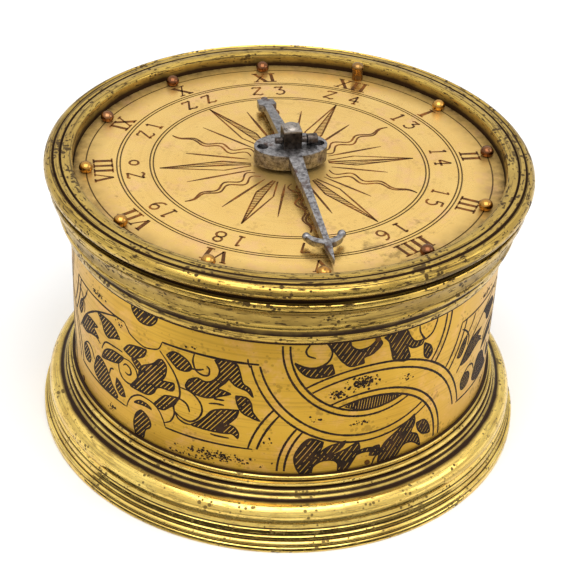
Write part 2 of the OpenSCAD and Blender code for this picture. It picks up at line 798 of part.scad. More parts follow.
module great_click() {
    color(steel) at(fusee_at, great_click_turn) mirror([0, 1, 0]) translate([0, 0, great_click_z0])
        linear_extrude(click_t) click_outline(click_ring_r, 0.28);
}

module great_click_spring() {
    color(steel) at(fusee_at, great_click_turn) mirror([0, 1, 0]) click_spring(click_ring_r, great_click_z0, great_z0);
}

module great_click_pin() {
    color(steel) at(fusee_at, great_click_turn) mirror([0, 1, 0])
        click_pin(click_ring_r, great_click_z0 - 0.2, great_z0, 0.16);
}

/* The gut line: coils on the barrel, a straight pull and half a turn on the fusee */

coil_sides = 6;
coil_steps = 20;
coil_count = 5;
gut_gap = 0.3;
coil_r = barrel_r + gut_r + gut_gap;
gut_top = fusee_z1 - 0.4;
coil_pitch = 2 * gut_r + 0.9;
fusee_coil_r = fusee_r + gut_r + gut_gap;
side_dir = pull_dir - 90;
span = norm(pull);
lean = asin((fusee_coil_r - coil_r) / span);

gut_route = concat(
    [for (i = [coil_steps * coil_count:-1:0]) let (a = side_dir + lean + i * 360 / coil_steps)
        [for (v = polar(coil_r, a)) v, gut_top - coil_pitch * i / coil_steps] + [barrel_at[0], barrel_at[1], 0]],
    [for (i = [0:coil_steps / 2]) let (a = side_dir + lean - i * 360 / coil_steps)
        [for (v = polar(fusee_coil_r, a)) v, gut_top] + [fusee_at[0], fusee_at[1], 0]]
);

function unit(v) = v / norm(v);

module tube(path, r, sides) {
    n = len(path);
    points = [for (i = [0:n - 1]) let (
        along = unit(path[min(i + 1, n - 1)] - path[max(i - 1, 0)]),
        across = unit(cross(along, [0, 0, 1])), up = cross(across, along)
    ) for (k = [0:sides - 1]) path[i] + r * (across * cos(360 * k / sides) + up * sin(360 * k / sides))];
    walls = [for (i = [0:n - 2], k = [0:sides - 1]) let (a = i * sides + k, b = i * sides + (k + 1) % sides)
        [[a, a + sides, b], [b, a + sides, b + sides]]];
    caps = [[for (k = [0:sides - 1]) k], [for (k = [sides - 1:-1:0]) (n - 1) * sides + k]];
    polyhedron(points, concat([for (pair = walls) for (face = pair) face], caps));
}

module gut_line() {
    color(gut_colour) tube(gut_route, gut_r, coil_sides);
}

/* The stop work, which ends the winding */

stop_at = fusee_at + polar(15, pull_dir) + polar(5.6, pull_dir - 90);
stop_z = low_z1 + 1.9;
stop_reach = 8.6;

module stop_stud() {
    color(steel) at(stop_at, pull_dir + 180) {
        for (side = [-1, 1]) translate([-1, side * 1.1 - 0.4, low_z1]) cube([2, 0.8, 2.7]);
        translate([0, 0, stop_z]) rotate([90, 0, 0]) cylinder(r = pivot_r, h = 2.4, center = true, $fn = 24);
    }
}

module stop_lever() {
    color(steel) at(stop_at, pull_dir + 180) difference() {
        translate([-0.9, -0.6, stop_z - 0.7]) cube([stop_reach + 0.9, 1.2, 1.4]);
        translate([0, 0, stop_z]) rotate([90, 0, 0]) cylinder(r = pivot_r + run, h = 4, center = true, $fn = 24);
        translate([1.2, -2, stop_z + 0.2]) cube([stop_reach, 4, 2]);
    }
}

/* The going train */

module arbor_with_pinion(turn, z0, z1, m) {
    disc(arbor_r, low_z1 + 0.2, top_z0 - 0.2);
    disc(pivot_r, low_z0, top_z1);
    translate([0, 0, z0]) linear_extrude(z1 - z0) rotate(turn) pinion_teeth(pinion_n, m);
}

module second_arbor() {
    color(steel) at(second_at)
        arbor_with_pinion(second_dir + 180 + 180 / pinion_n, great_z0 - 0.4, great_z1 + 0.35, great_m);
}

module second_wheel() {
    color(gold) at(second_at) translate([0, 0, second_z0]) linear_extrude(wheel_t) rotate(contrate_dir) difference() {
        crossed(second_m * (second_n / 2 - 3), 2.2, 1.1) wheel_teeth(second_n, second_m);
        circle(arbor_r + fit);
    }
}

contrate_tip_z = crown_z + crown_pinion_r - 0.35;
contrate_root_z = crown_z + crown_pinion_r + 0.85;
contrate_top_z = contrate_root_z + 1;

module contrate_wheel() {
    pitch = 360 / contrate_n;
    color(gold) at(contrate_at) {
        translate([0, 0, contrate_root_z]) linear_extrude(contrate_top_z - contrate_root_z) difference() {
            crossed(contrate_r - 0.6, 1.8, 1.1) circle(contrate_r + 0.35);
            circle(arbor_r + fit);
        }
        for (k = [0:contrate_n - 1]) rotate([0, 0, crown_dir + (k + 0.5) * pitch])
            translate([contrate_r - 0.45, 0, 0]) rotate([90, 0, 90]) linear_extrude(0.75) polygon([
                [-0.24, contrate_root_z + eps], [-0.09, contrate_tip_z], [0.09, contrate_tip_z],
                [0.24, contrate_root_z + eps]
            ]);
    }
}

module contrate_arbor() {
    color(steel) at(contrate_at)
        arbor_with_pinion(contrate_dir + 180 + 180 / pinion_n, second_z0 - 0.4, second_z1 + 0.45, second_m);
}

/* The verge escapement. Along the crown arbor, X runs out from the contrate wheel's arbor */

module crown_frame() {
    translate([contrate_at[0], contrate_at[1], crown_z]) rotate([0, 0, crown_dir]) children();
}

module along(x0, x1, r) {
    translate([x0, 0, 0]) rotate([0, 90, 0]) cylinder(r = r, h = x1 - x0, $fn = 32);
}

follower_x = [2.7, 3.9];
potence_x = [7.1, 8.1];
crown_back = 8.45;
crown_rim_x = 10.4;
crown_tip_x = 11.5;

module crown_arbor() {
    color(steel) crown_frame() {
        along(follower_x[0], follower_x[1] + 0.3, pivot_r - 0.1);
        along(follower_x[1] + 0.1, potence_x[0] - 0.1, 0.5);
        along(potence_x[0] - 0.2, crown_back + 0.9, pivot_r);
        translate([follower_x[1] + 0.7, 0, 0]) rotate([90, 0, 90]) linear_extrude(2.2) rotate(90)
            polygon(tooth_ring(pinion_n, 0.5, crown_pinion_r + 0.24, 0.36, 0.1));
    }
}

module crown_wheel() {
    color(gold) crown_frame() difference() {
        union() {
            along(crown_back, crown_back + 0.7, crown_r);
            difference() {
                along(crown_back + 0.1, crown_rim_x, crown_r);
                along(crown_back + 0.6, crown_rim_x + 1, crown_r - 0.55);
            }
            for (k = [0:crown_n - 1]) rotate([k * 360 / crown_n, 0, 0])
                translate([crown_rim_x - 0.1, 0, crown_r - 0.5]) linear_extrude(0.45)
                    polygon([[0, -0.6], [crown_tip_x - crown_rim_x, 0.3], [crown_tip_x - crown_rim_x, 0.45], [0, 0.6]]);
        }
        along(0, crown_back + 2, pivot_r + fit);
        for (k = [0:3]) rotate([k * 90 + 45, 0, 0]) translate([0, 0, 2]) along(0, crown_back + 2, 0.85);
    }
}

module crown_block(x, r, top) {
    difference() {
        translate([x[0], -1.2, low_z1 - crown_z]) cube([x[1] - x[0], 2.4, top + crown_z - low_z1]);
        along(x[0] - 1, x[1] + 1, r + run);
    }
    translate([x[0] - 0.3, -1.7, low_z1 - crown_z]) cube([x[1] - x[0] + 0.6, 3.4, 0.4]);
}

module crown_follower() {
    color(gold) crown_frame() crown_block(follower_x, pivot_r - 0.1, 1.1);
}

module crown_potence() {
    color(gold) crown_frame() crown_block(potence_x, pivot_r, 1.2);
}

verge_hole_r = 0.9;
verge_head = crown_z + crown_r + 1.2;
bush_z0 = balance_z1 + 0.55;

module verge() {
    color(steel) at(verge_at) {
        disc(0.5, cock_z1 + 0.15, verge_head - 0.1);
        disc(0.35, cock_z0 + 0.1, verge_head + 0.9);
        for (side = [-1, 1]) translate([0, 0, crown_z + side * (crown_r - 0.5)]) rotate([0, 0, crown_dir + 180 + side * 50])
            translate([0, -0.17, -0.75]) cube([1.25, 0.34, 1.5]);
    }
}

potence_clear = 2.6;    // the verge's bearing block stands this far beyond the verge

module verge_potence() {
    foot_x = verge_distance + potence_clear;
    color(gold) translate([contrate_at[0], contrate_at[1], 0]) rotate([0, 0, crown_dir]) difference() {
        union() {
            translate([foot_x, -1.5, low_z1]) cube([2.4, 3, verge_head + 1.2 - low_z1]);
            translate([foot_x - 0.5, -2.2, low_z1]) cube([3.4, 4.4, 0.8]);
            translate([verge_distance, -1, verge_head]) cube([foot_x - verge_distance + 1, 2, 1.2]);
            translate([verge_distance, 0, verge_head]) cylinder(r = 1, h = 1.2);
        }
        translate([verge_distance, 0, verge_head - 1]) cylinder(r = 0.35 + run, h = 4, $fn = 24);
    }
}

module balance() {
    color(gold) at(verge_at, regulator_dir) translate([0, 0, balance_z0]) linear_extrude(balance_t) difference() {
        union() {
            difference() {
                circle(balance_r, $fn = 96);
                circle(balance_r - 0.9, $fn = 96);
            }
            square([2 * balance_r - 1, 0.9], center = true);
            circle(1.3);
        }
        circle(0.5 + fit);
    }
}

cock_at = verge_at + polar(cock_reach, cock_dir);

module balance_cock() {
    color(gold) difference() {
        union() {
            at(verge_at, cock_dir) {
                translate([0, 0, cock_z0]) linear_extrude(cock_t) {
                    circle(1.8);
                    polygon([[0, -1.1], [cock_reach, -1.9], [cock_reach, 1.9], [0, 1.1]]);
                }
            }
            at(cock_at, cock_dir) translate([-2, -1.9, cock_z0]) cube([4.4, 3.8, low_z0 - cock_z0]);
        }
        hole(verge_at, 0.35 + run);
        hole(cock_at, pivot_r + fit);
    }
}

module cock_screw() {
    color(steel) at(cock_at) difference() {
        union() {
            disc(pivot_r, cock_z0 - 0.1, low_z1);
            disc(1.1, cock_z0 - 0.7, cock_z0);
        }
        translate([0, 0, cock_z0 - 0.7]) cube([3, 0.3, 0.5], center = true);
    }
}

regulator_z1 = low_z0 - 0.4;
regulator_z0 = regulator_z1 - 0.7;
bush_r = 1.5;

module regulator_bush() {
    color(gold) at(verge_at) {
        disc(bush_r, bush_z0, low_z0, verge_hole_r);
        disc(bush_r + 0.4, bush_z0, regulator_z0 - run, verge_hole_r);
    }
}

module regulator() {
    color(steel) at(verge_at, regulator_dir) translate([0, 0, regulator_z0]) linear_extrude(regulator_z1 - regulator_z0)
        difference() {
            union() {
                circle(bush_r + 1.1);
                polygon([[0, -0.8], [balance_r + 0.6, -0.5], [balance_r + 1.8, 0], [balance_r + 0.6, 0.5], [0, 0.8]]);
                for (side = [-1, 1]) rotate(side * bristle_angle) {
                    translate([0, -0.4]) square([bristle_ring_r, 0.8]);
                    translate([bristle_ring_r, 0]) circle(0.6);
                }
            }
            circle(bush_r + run);
            for (side = [-1, 1]) rotate(side * bristle_angle) translate([bristle_ring_r, 0]) circle(0.15 + fit, $fn = 16);
        }
}

module regulator_bristles() {
    color(gut_colour) at(verge_at, regulator_dir) for (side = [-1, 1])
        at(polar(bristle_ring_r, side * bristle_angle)) disc(0.15, balance_z0 - 0.3, regulator_z1, $fn = 16);
}

case_band();
top_rim();
base_ring();
case_pins();
base_cover();
cover_hinge_pin();
dial_plate();
touch_pins();
twelve_pin();
dial_feet();
dial_foot_pins();
hour_hand();
hand_pin();
hand_arbor();
hand_spring();
hour_wheel();
top_plate();
bottom_plate();
pillars();
plate_pins();
barrel();
barrel_cap();
mainspring();
barrel_arbor();
barrel_ratchet();
barrel_click();
barrel_click_spring();
barrel_click_screw();
gut_line();
fusee();
fusee_arbor();
fusee_ratchet();
great_wheel();
great_click();
great_click_spring();
great_click_pin();
motion_pinion();
stop_stud();
stop_lever();
second_wheel();
second_arbor();
contrate_wheel();
contrate_arbor();
crown_wheel();
crown_arbor();
crown_potence();
crown_follower();
verge();
verge_potence();
balance();
balance_cock();
cock_screw();
regulator_bush();
regulator();
regulator_bristles();
latches_front();
latches_back();
latch_posts();
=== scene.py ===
import json
from math import cos, pi, radians, sin
from random import Random

import bmesh
import bpy
from mathutils import Matrix, Quaternion, Vector
from mathutils.geometry import interpolate_bezier


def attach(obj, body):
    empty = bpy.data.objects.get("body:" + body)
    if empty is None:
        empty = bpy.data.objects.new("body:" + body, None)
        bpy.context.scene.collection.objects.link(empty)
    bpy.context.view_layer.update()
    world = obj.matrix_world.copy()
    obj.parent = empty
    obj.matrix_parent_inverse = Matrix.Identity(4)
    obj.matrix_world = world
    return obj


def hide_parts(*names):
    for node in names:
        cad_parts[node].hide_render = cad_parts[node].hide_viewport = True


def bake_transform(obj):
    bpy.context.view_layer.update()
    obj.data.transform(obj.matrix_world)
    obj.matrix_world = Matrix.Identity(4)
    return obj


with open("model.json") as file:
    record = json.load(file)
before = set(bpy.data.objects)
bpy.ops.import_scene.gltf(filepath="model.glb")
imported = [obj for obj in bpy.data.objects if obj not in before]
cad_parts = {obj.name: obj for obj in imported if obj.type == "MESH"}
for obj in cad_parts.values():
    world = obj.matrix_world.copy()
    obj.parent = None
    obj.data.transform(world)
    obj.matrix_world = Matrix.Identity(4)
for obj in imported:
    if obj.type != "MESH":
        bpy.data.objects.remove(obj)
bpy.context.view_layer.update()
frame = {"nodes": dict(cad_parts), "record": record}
mm = 0.001

# The photographer's camera stands in front of the clock and a little to its right, and looks down
# on the dial. It leans slightly to the left, as the photograph does.
camera_spot = Vector((69.115, -190.720, 158.951)) * mm
camera_aim = Vector((0.624, 0.224, 19.861)) * mm
camera_lean = radians(2.979)
camera = bpy.data.objects.new("camera", bpy.data.cameras.new("camera"))
bpy.context.collection.objects.link(camera)
camera.data.sensor_width = 36
camera.data.lens = 101.73
camera.data.clip_start = 0.01
camera.location = camera_spot
facing = (camera_aim - camera_spot).to_track_quat("-Z", "Y") @ Quaternion((0, 0, 1), camera_lean)
camera.rotation_euler = facing.to_euler()
bpy.context.scene.camera = camera

# The clock stands on white paper in a studio. A large soft lamp hangs over it, a weaker one stands at
# its right, and the room is brighter above. Two dark cards lie in front, as photographers of metal
# place them to shade the gilding. The camera doesn't see them, and they throw no shadow.
# The cards face the camera, which stands at front_angle, in degrees round the clock.
bpy.context.scene.view_settings.view_transform = "Standard"
front_angle = -70.08
room_level = 0.75
paper_hole_r, paper_r = 0.036, 3
paper_z, card_z = -0.00002, 0.00005


def tree_of(data):
    data.use_nodes = True
    tree = data.node_tree
    tree.nodes.clear()
    return tree


def put(tree, kind, fixed=None, **inputs):
    """A node with its options in fixed. Other names are sockets, given a value or another node's socket."""
    node = tree.nodes.new(kind)
    for option, value in (fixed or {}).items():
        setattr(node, option, value)
    for name, value in inputs.items():
        socket = node.inputs[int(name[1:])] if name[1:].isdigit() else node.inputs[name.replace("_", " ")]
        if isinstance(value, bpy.types.NodeSocket):
            tree.links.new(value, socket)
        else:
            socket.default_value = value
    return node


def sums(tree, operation, *values):
    sockets = {"_%d" % i: value for i, value in enumerate(values)}
    return put(tree, "ShaderNodeMath", {"operation": operation}, **sockets).outputs[0]


def ramp(tree, value, low, high, **ends):
    """Stretches a value so that low becomes 0 and high becomes 1, or what the ends say."""
    return put(tree, "ShaderNodeMapRange", Value=value, From_Min=low, From_Max=high, **ends).outputs[0]


def noise(tree, place, scale, detail, rough=0.5):
    return put(tree, "ShaderNodeTexNoise", _0=place, Scale=scale, Detail=detail, Roughness=rough).outputs[0]


def mixed(tree, share, first, second):
    return put(tree, "ShaderNodeMixRGB", _0=share, _1=first, _2=second).outputs[0]


def paint(red, green, blue):
    """A colour as it looks, from 0 to 255, turned into light for the shaders."""
    return [((v / 255 + 0.055) / 1.055) ** 2.4 if v > 10 else v / 3295 for v in (red, green, blue)] + [1]


def lamp(name, spot, aim, size, watts):
    light = bpy.data.lights.new(name, "AREA")
    light.shape = "SQUARE"
    light.size = size
    light.energy = watts
    holder = bpy.data.objects.new(name, light)
    holder.location = spot
    holder.rotation_euler = (Vector(aim) - Vector(spot)).to_track_quat("-Z", "Y").to_euler()
    bpy.context.collection.objects.link(holder)


clock_middle = (0, 0, 0.03)
lamp("softbox_above", (0.06, -0.16, 0.52), clock_middle, size=0.5, watts=2.4)
lamp("softbox_right", (0.45, 0.1, 0.3), clock_middle, size=0.25, watts=0.35)

world = bpy.data.worlds.new("studio")
bpy.context.scene.world = world
tree = tree_of(world)
ray = put(tree, "ShaderNodeLightPath").outputs
outward = put(tree, "ShaderNodeTexCoord").outputs["Generated"]
height = put(tree, "ShaderNodeSeparateXYZ", _0=outward).outputs[2]
sky = ramp(tree, height, 0.42, 0.66, To_Min=0.88, To_Max=1.25)
brighter = sums(tree, "SUBTRACT", sky, room_level)
strength = sums(tree, "MULTIPLY_ADD", ray["Is Glossy Ray"], brighter, room_level)
plain_white = sums(tree, "MAXIMUM", ray["Is Camera Ray"], ray["Is Transmission Ray"])
strength = sums(tree, "MAXIMUM", strength, plain_white)
white_room = put(tree, "ShaderNodeBackground", Color=(1, 1, 1, 1), Strength=strength)
put(tree, "ShaderNodeOutputWorld", Surface=white_room.outputs[0])


def add_piece(name, bm, material, hard=32, closed=True):
    """The finished bmesh as an object at the origin, smooth but for edges sharper than hard degrees."""
    if closed:
        bmesh.ops.recalc_face_normals(bm, faces=bm.faces)
    for face in bm.faces:
        face.smooth = True
    for edge in bm.edges:
        edge.smooth = len(edge.link_faces) == 2 and edge.calc_face_angle(0) < radians(hard)
    mesh = bpy.data.meshes.new(name)
    bm.to_mesh(mesh)
    bm.free()
    mesh.materials.append(material)
    piece = bpy.data.objects.new(name, mesh)
    bpy.context.collection.objects.link(piece)
    return piece


def plain_finish(name, colour, rough, scale=60.0, uneven=0.03, see_through_below=False):
    """A dull unplated surface with a little grain. Paper seen from under the table is left clear."""
    material = bpy.data.materials.new(name)
    tree = tree_of(material)
    place = put(tree, "ShaderNodeTexCoord").outputs["Object"]
    grain = noise(tree, place, scale, 4.0)
    darker = [(1 - uneven) * v for v in colour[:3]] + [1]
    tone = mixed(tree, grain, colour, darker)
    bump = put(tree, "ShaderNodeBump", Strength=0.4, Distance=0.00004, Height=grain).outputs[0]
    gloss = sums(tree, "MULTIPLY_ADD", grain, 0.2, rough - 0.1)
    skin = put(tree, "ShaderNodeBsdfPrincipled", Base_Color=tone, Normal=bump, Roughness=gloss).outputs[0]
    if see_through_below:
        below = put(tree, "ShaderNodeNewGeometry").outputs["Backfacing"]
        clear = put(tree, "ShaderNodeBsdfTransparent").outputs[0]
        skin = put(tree, "ShaderNodeMixShader", _0=below, _1=skin, _2=clear).outputs[0]
    put(tree, "ShaderNodeOutputMaterial", Surface=skin)
    return material


bm = bmesh.new()
ends = [bm.verts.new((reach, 0, paper_z)) for reach in (paper_hole_r, paper_r)]
bmesh.ops.spin(bm, geom=ends + [bm.edges.new(ends)], cent=(0, 0, 0), axis=(0, 0, 1), angle=radians(360),
               steps=96, use_merge=True)
bm.normal_update()
if sum(face.normal.z for face in bm.faces) < 0:
    bmesh.ops.reverse_faces(bm, faces=bm.faces)
paper = plain_finish("paper", paint(250, 250, 250), rough=0.7, see_through_below=True)
add_piece("white_paper", bm, paper, closed=False)

for name, near, far, wide, shade in (("near_card", 0.0368, 0.044, 100, (16, 13, 9)),
                                     ("far_card", 0.078, 0.45, 90, (12, 11, 10))):
    bm = bmesh.new()
    side = radians(front_angle - wide / 2)
    ends = [bm.verts.new((reach * cos(side), reach * sin(side), card_z)) for reach in (near, far)]
    bmesh.ops.spin(bm, geom=ends + [bm.edges.new(ends)], cent=(0, 0, 0), axis=(0, 0, 1), angle=radians(wide),
                   steps=24)
    card = add_piece(name, bm, plain_finish(name, paint(*shade), rough=0.8))
    card.visible_camera = False
    card.visible_shadow = False
    card.visible_diffuse = False

# The case's band is a drawn brass tube, turned true and fire-gilt. The gilding has worn to a pinkish
# tone at the edges, and fine scratches run round it.
band_r = 31.5
band_in_r = 30.3
foot_top = 10.2
band_top = 32.7
band_h = 22.5


def lathe(name, section, material, turns=256, start=0, sweep=360):
    """Turns a closed section of (radius, height, darkening) in millimetres.
    The darkening, for dirt and painted shade, is kept for the material.
    """
    bm = bmesh.new()
    grime_and_shade = bm.verts.layers.float.new("grime_and_shade")
    first = radians(start)
    ring = [bm.verts.new((r * mm * cos(first), r * mm * sin(first), z * mm)) for r, z, _ in section]
    for vert, (_, _, dirt_and_shade) in zip(ring, section):
        vert[grime_and_shade] = dirt_and_shade
    loop = [bm.edges.new((ring[i - 1], ring[i])) for i in range(len(ring))]
    whole = sweep == 360
    if not whole:
        loop.append(bm.faces.new(ring))
    bmesh.ops.spin(bm, geom=ring + loop, cent=(0, 0, 0), axis=(0, 0, 1), angle=radians(sweep), steps=turns,
                   use_merge=whole, use_normal_flip=False, use_duplicate=False)
    bmesh.ops.remove_doubles(bm, verts=bm.verts, dist=1e-7)
    return add_piece(name, bm, material)


def gilt(name, bright, deep, rough, worn=(236, 178, 140), turned=0.3, pits=0.2, haze=0.35, dashes=0.0,
         metal=1.0, more_dirt_and_shade=None):
    """Old fire gilding: cloudy, worn in patches, with lathe lines and pits, and darkened by dirt and painted
    shade.
    """
    material = bpy.data.materials.new(name)
    tree = tree_of(material)
    place = put(tree, "ShaderNodeTexCoord").outputs["Object"]
    part = put(tree, "ShaderNodeSeparateXYZ", _0=place).outputs
    level = put(tree, "ShaderNodeCombineXYZ", _0=part[0], _1=part[1], _2=0.0).outputs[0]
    radius = put(tree, "ShaderNodeVectorMath", {"operation": "LENGTH"}, _0=level).outputs["Value"]

    def ringed(along, across):
        """Noise drawn out round the axis, without a seam: slow along the turning, fast across it."""
        spot = put(tree, "ShaderNodeCombineXYZ", _0=sums(tree, "MULTIPLY", part[0], along),
                   _1=sums(tree, "MULTIPLY", part[1], along),
                   _2=sums(tree, "MULTIPLY", part[2], across)).outputs[0]
        return put(tree, "ShaderNodeTexNoise", {"noise_dimensions": "4D"}, Vector=spot, Scale=1.0, Detail=4.0,
                   W=sums(tree, "MULTIPLY", radius, across), Roughness=0.6).outputs[0]

    cloud = noise(tree, place, 140.0, 5.0, 0.6)
    fine = noise(tree, place, 1500.0, 3.0)
    lines = ringed(45.0, 2800.0)
    tone = mixed(tree, cloud, paint(*bright), paint(*deep))
    rub = ramp(tree, noise(tree, place, 230.0, 6.0, 0.7), 0.52, 0.74)
    tone = mixed(tree, sums(tree, "MULTIPLY", rub, haze), tone, paint(*worn))
    dirt_and_shade = put(tree, "ShaderNodeAttribute", {"attribute_name": "grime_and_shade"}).outputs["Fac"]
    dirt_and_shade = sums(tree, "ADD", dirt_and_shade, sums(tree, "MULTIPLY_ADD", cloud, 0.5, -0.25))
    dirt_and_shade = ramp(tree, dirt_and_shade, 0.3, 0.8)
    dirt_and_shade = sums(tree, "MAXIMUM", dirt_and_shade, sums(tree, "MULTIPLY", ramp(tree, lines, 0.48, 0.4), turned))
    if dashes:
        dash = ramp(tree, ringed(650.0, 3300.0), 0.46, 0.38)
        dirt_and_shade = sums(tree, "MAXIMUM", dirt_and_shade, sums(tree, "MULTIPLY", dash, dashes))
    spot = put(tree, "ShaderNodeTexVoronoi", _0=place, Scale=1400.0, Randomness=1.0).outputs["Distance"]
    where = noise(tree, place, 260.0, 2.0)
    hole = sums(tree, "MULTIPLY_ADD", sums(tree, "SUBTRACT", where, 0.47), -1.9, spot)
    dirt_and_shade = sums(tree, "MAXIMUM", dirt_and_shade, sums(tree, "MULTIPLY", ramp(tree, hole, 0.12, 0.02), pits))
    if more_dirt_and_shade:
        dirt_and_shade = sums(tree, "MAXIMUM", dirt_and_shade, more_dirt_and_shade(tree, place, part, radius))
    # This dark colour stands for dirt and for painted shade in hollows and corners.
    tone = mixed(tree, dirt_and_shade, tone, paint(46, 29, 14))
    gloss = sums(tree, "MULTIPLY_ADD", fine, 0.14, sums(tree, "MULTIPLY_ADD", dirt_and_shade, 0.3, rough - 0.07))
    height = sums(tree, "MULTIPLY_ADD", fine, 0.25, sums(tree, "MULTIPLY", dirt_and_shade, -0.7))
    height = sums(tree, "MULTIPLY_ADD", lines, turned, height)
    bump = put(tree, "ShaderNodeBump", Strength=0.5, Distance=0.00003, Height=height).outputs[0]
    bare_metal = sums(tree, "MULTIPLY_ADD", dirt_and_shade, -0.8 * metal, metal)
    skin = put(tree, "ShaderNodeBsdfPrincipled", Base_Color=tone, Roughness=gloss, Normal=bump,
               Specular_IOR_Level=0.1, Metallic=bare_metal)
    put(tree, "ShaderNodeOutputMaterial", Surface=skin.outputs[0])
    return material


band_gilt = gilt("band_gilt", (214, 172, 68), (190, 144, 46), rough=0.36, turned=0.15, pits=0.3,
                 metal=0.85)
# The band darkens towards its top and bottom, where the foot and rim meet it: dirt and painted shade.
band = lathe("engraved_band", [
    (band_r, foot_top, 0.6), (band_r, foot_top + 0.4, 0), (band_r, band_top - 0.3, 0),
    (band_r, band_top, 0.7), (band_in_r, band_top, 0.5), (band_in_r, foot_top, 0.5)], band_gilt)
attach(band, "root")
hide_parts("case_band")

# The rim is a heavy brass ring turned with a roll, a fillet, a hollow and a bead. Two grooves run
# round its top. Dirt and painted shade darken it in the grooves, under the roll, in every corner and down its
# inner wall.


def bend(r, z, out, up, first, last, grime_and_shade, steps=12):
    """Part of an ellipse of a moulding, from one angle to another."""
    angles = [radians(first + (last - first) * i / steps) for i in range(steps + 1)]
    return [(r + out * cos(a), z + up * sin(a), grime_and_shade(i / steps)) for i, a in enumerate(angles)]


rim_gilt = gilt("rim_gilt", (220, 188, 98), (160, 124, 50), rough=0.23, worn=(128, 104, 50), turned=0.8,
                pits=0.9, haze=0.6, dashes=0.95)
rim_top = [(29.4, 40.6, 0.6), (30.9, 40.6, 1.2), (30.9, 41.75, 0.95), (30.9, 42.6, 0.6), (30.9, 43.2, 0.4),
           (31.05, 43.45, 0.1), (31.35, 43.6, 0), (32.4, 43.6, 0), (32.5, 43.57, 0.8), (32.66, 43.34, 1.2),
           (32.82, 43.57, 0.8), (32.92, 43.6, 0), (33.44, 43.6, 0), (33.54, 43.57, 0.8), (33.7, 43.29, 1.2)]
rim_fillets = [(33.6, 41.37, 1.1), (33.6, 40.74, 1.2), (33.75, 40.68, 0.7), (34.3, 40.65, 0),
               (34.4, 40.55, 0), (34.41, 39.9, 0.05), (34.38, 39.8, 0.3), (34.09, 39.75, 1.1),
               (34.09, 39.57, 1.1), (34.22, 39.47, 0.3)]
rim_foot = [(32.52, 35.53, 0.75), (32.3, 35.1, 0.7), (32.235, 34.77, 0.75), (32.235, 34.3, 0.85),
            (32.3, 34.2, 0.2), (32.305, 33.4, 0), (32.2, 33.2, 0.1), (31.955, 33.12, 1.1), (31.92, 32.7, 1.2)]
rim_inside = [(30.28, 32.7, 0.5), (30.28, 31.1, 0.5), (29.4, 31.1, 0.5), (29.4, 33.6, 0.5), (31, 34.5, 0.5),
              (31, 38.4, 0.5), (29.4, 39.4, 0.6)]
roll = bend(33.915, 42.565, 1.085, 1.036, 80, -80, lambda t: 0.35 * t * t, 20)
hollow = bend(34.44, 36.68, 1.295, 2.725, 100, 180, lambda t: 0.3 + 0.2 * t, 14)
bead = bend(32.97, 36.08, 0.28, 0.49, 60, -80, lambda t: 0.1 + 0.5 * t, 8)
rim = lathe("moulded_rim", rim_top + roll + rim_fillets + hollow + bead + rim_foot + rim_inside, rim_gilt)
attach(rim, "root")
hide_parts("top_rim")

# The foot is a second turned ring, wider than the rim: fillets, a small bead, one broad swelling and
# a bead above the table. Its inside carries the movement's shelf and the hinge of the bottom cover.
foot_gilt = gilt("foot_gilt", (255, 228, 132), (204, 160, 68), rough=0.15, worn=(160, 128, 64),
                 turned=0.35, pits=0.8, haze=0.5, dashes=0.45)
# The third figures darken the fillets, the beads' feet and the top of the swelling: dirt and painted shade in
# the corners.
foot_edge = [(31.1, 0, 0.4), (36.3, 0, 0.4), (36.5, 0.15, 0.3), (36.5, 0.8, 0.05), (36.42, 0.88, 0.3),
             (36.25, 0.95, 1.1)]
low_fillets = [(36.02, 1.86, 1), (35.9, 1.9, 1.1), (36.03, 1.98, 0.4), (36.02, 2.5, 0.2), (35.9, 2.58, 0.5),
               (35.62, 2.68, 1.1), (35.78, 2.8, 0.3), (35.76, 3.48, 0.2), (35.65, 3.56, 0.6),
               (35.42, 3.66, 1.1), (35.58, 3.8, 0.2)]
high_fillets = [(33.5, 6.98, 1), (33.48, 7.1, 1.1), (33.25, 7.28, 0.6), (33.08, 7.42, 0.5), (33, 7.66, 0.9)]
neck = [(32.22, 8.42, 1.2), (32.2, 8.7, 1.2), (32.56, 8.84, 0.5), (32.58, 9.05, 0.36), (32.5, 9.28, 0.34),
        (32.3, 9.35, 0.5), (31.92, 9.4, 1.2), (31.92, 9.52, 1.2), (32.08, 9.6, 0.42), (32.1, 10.05, 0.36),
        (32, 10.15, 0.5), (31.9, 10.2, 1)]
shelf = [(30.28, 10.2, 0.5), (30.28, 11.8, 0.5), (28.3, 11.8, 0.5), (28.3, 10.8, 0.5), (29.4, 10.8, 0.6),
         (29.4, 3.9, 0.7), (26.9, 3.1, 0.5), (26.9, 2.1, 0.5), (31.1, 2.1, 0.5)]
low_bead = bend(36.2, 1.41, 0.28, 0.36, -70, 75, lambda t: 0.15 * abs(2 * t - 1) ** 3, 8)
swelling = bend(33.8, 5.1, 1.75, 1.754, -28, 86, lambda t: 0.05 + 0.6 * t ** 8, 22)
high_bead = bend(32.6, 8.01, 0.3, 0.255, -60, 70, lambda t: 0.3 + 0.4 * abs(2 * t - 1) ** 2, 6)
foot = lathe("moulded_foot", foot_edge + low_bead + low_fillets + swelling + high_fillets + high_bead + neck
             + shelf, foot_gilt)
seat = lathe("cover_seat", [(26.9, 1.55, 0.5), (28.3, 1.55, 0.6), (28.3, 0, 0.4), (31.1, 0, 0.4),
                            (31.1, 2.1, 0.5), (26.9, 2.1, 0.5)], foot_gilt,
             turns=220, start=101.3, sweep=337.4)
knuckle_r, knuckle_long, knuckle_side = 0.85, 2.8, 3.9
hinge_y, hinge_z = 29.6, 0.95
root_y, root_z = 30.4, 1.45
bm = bmesh.new()
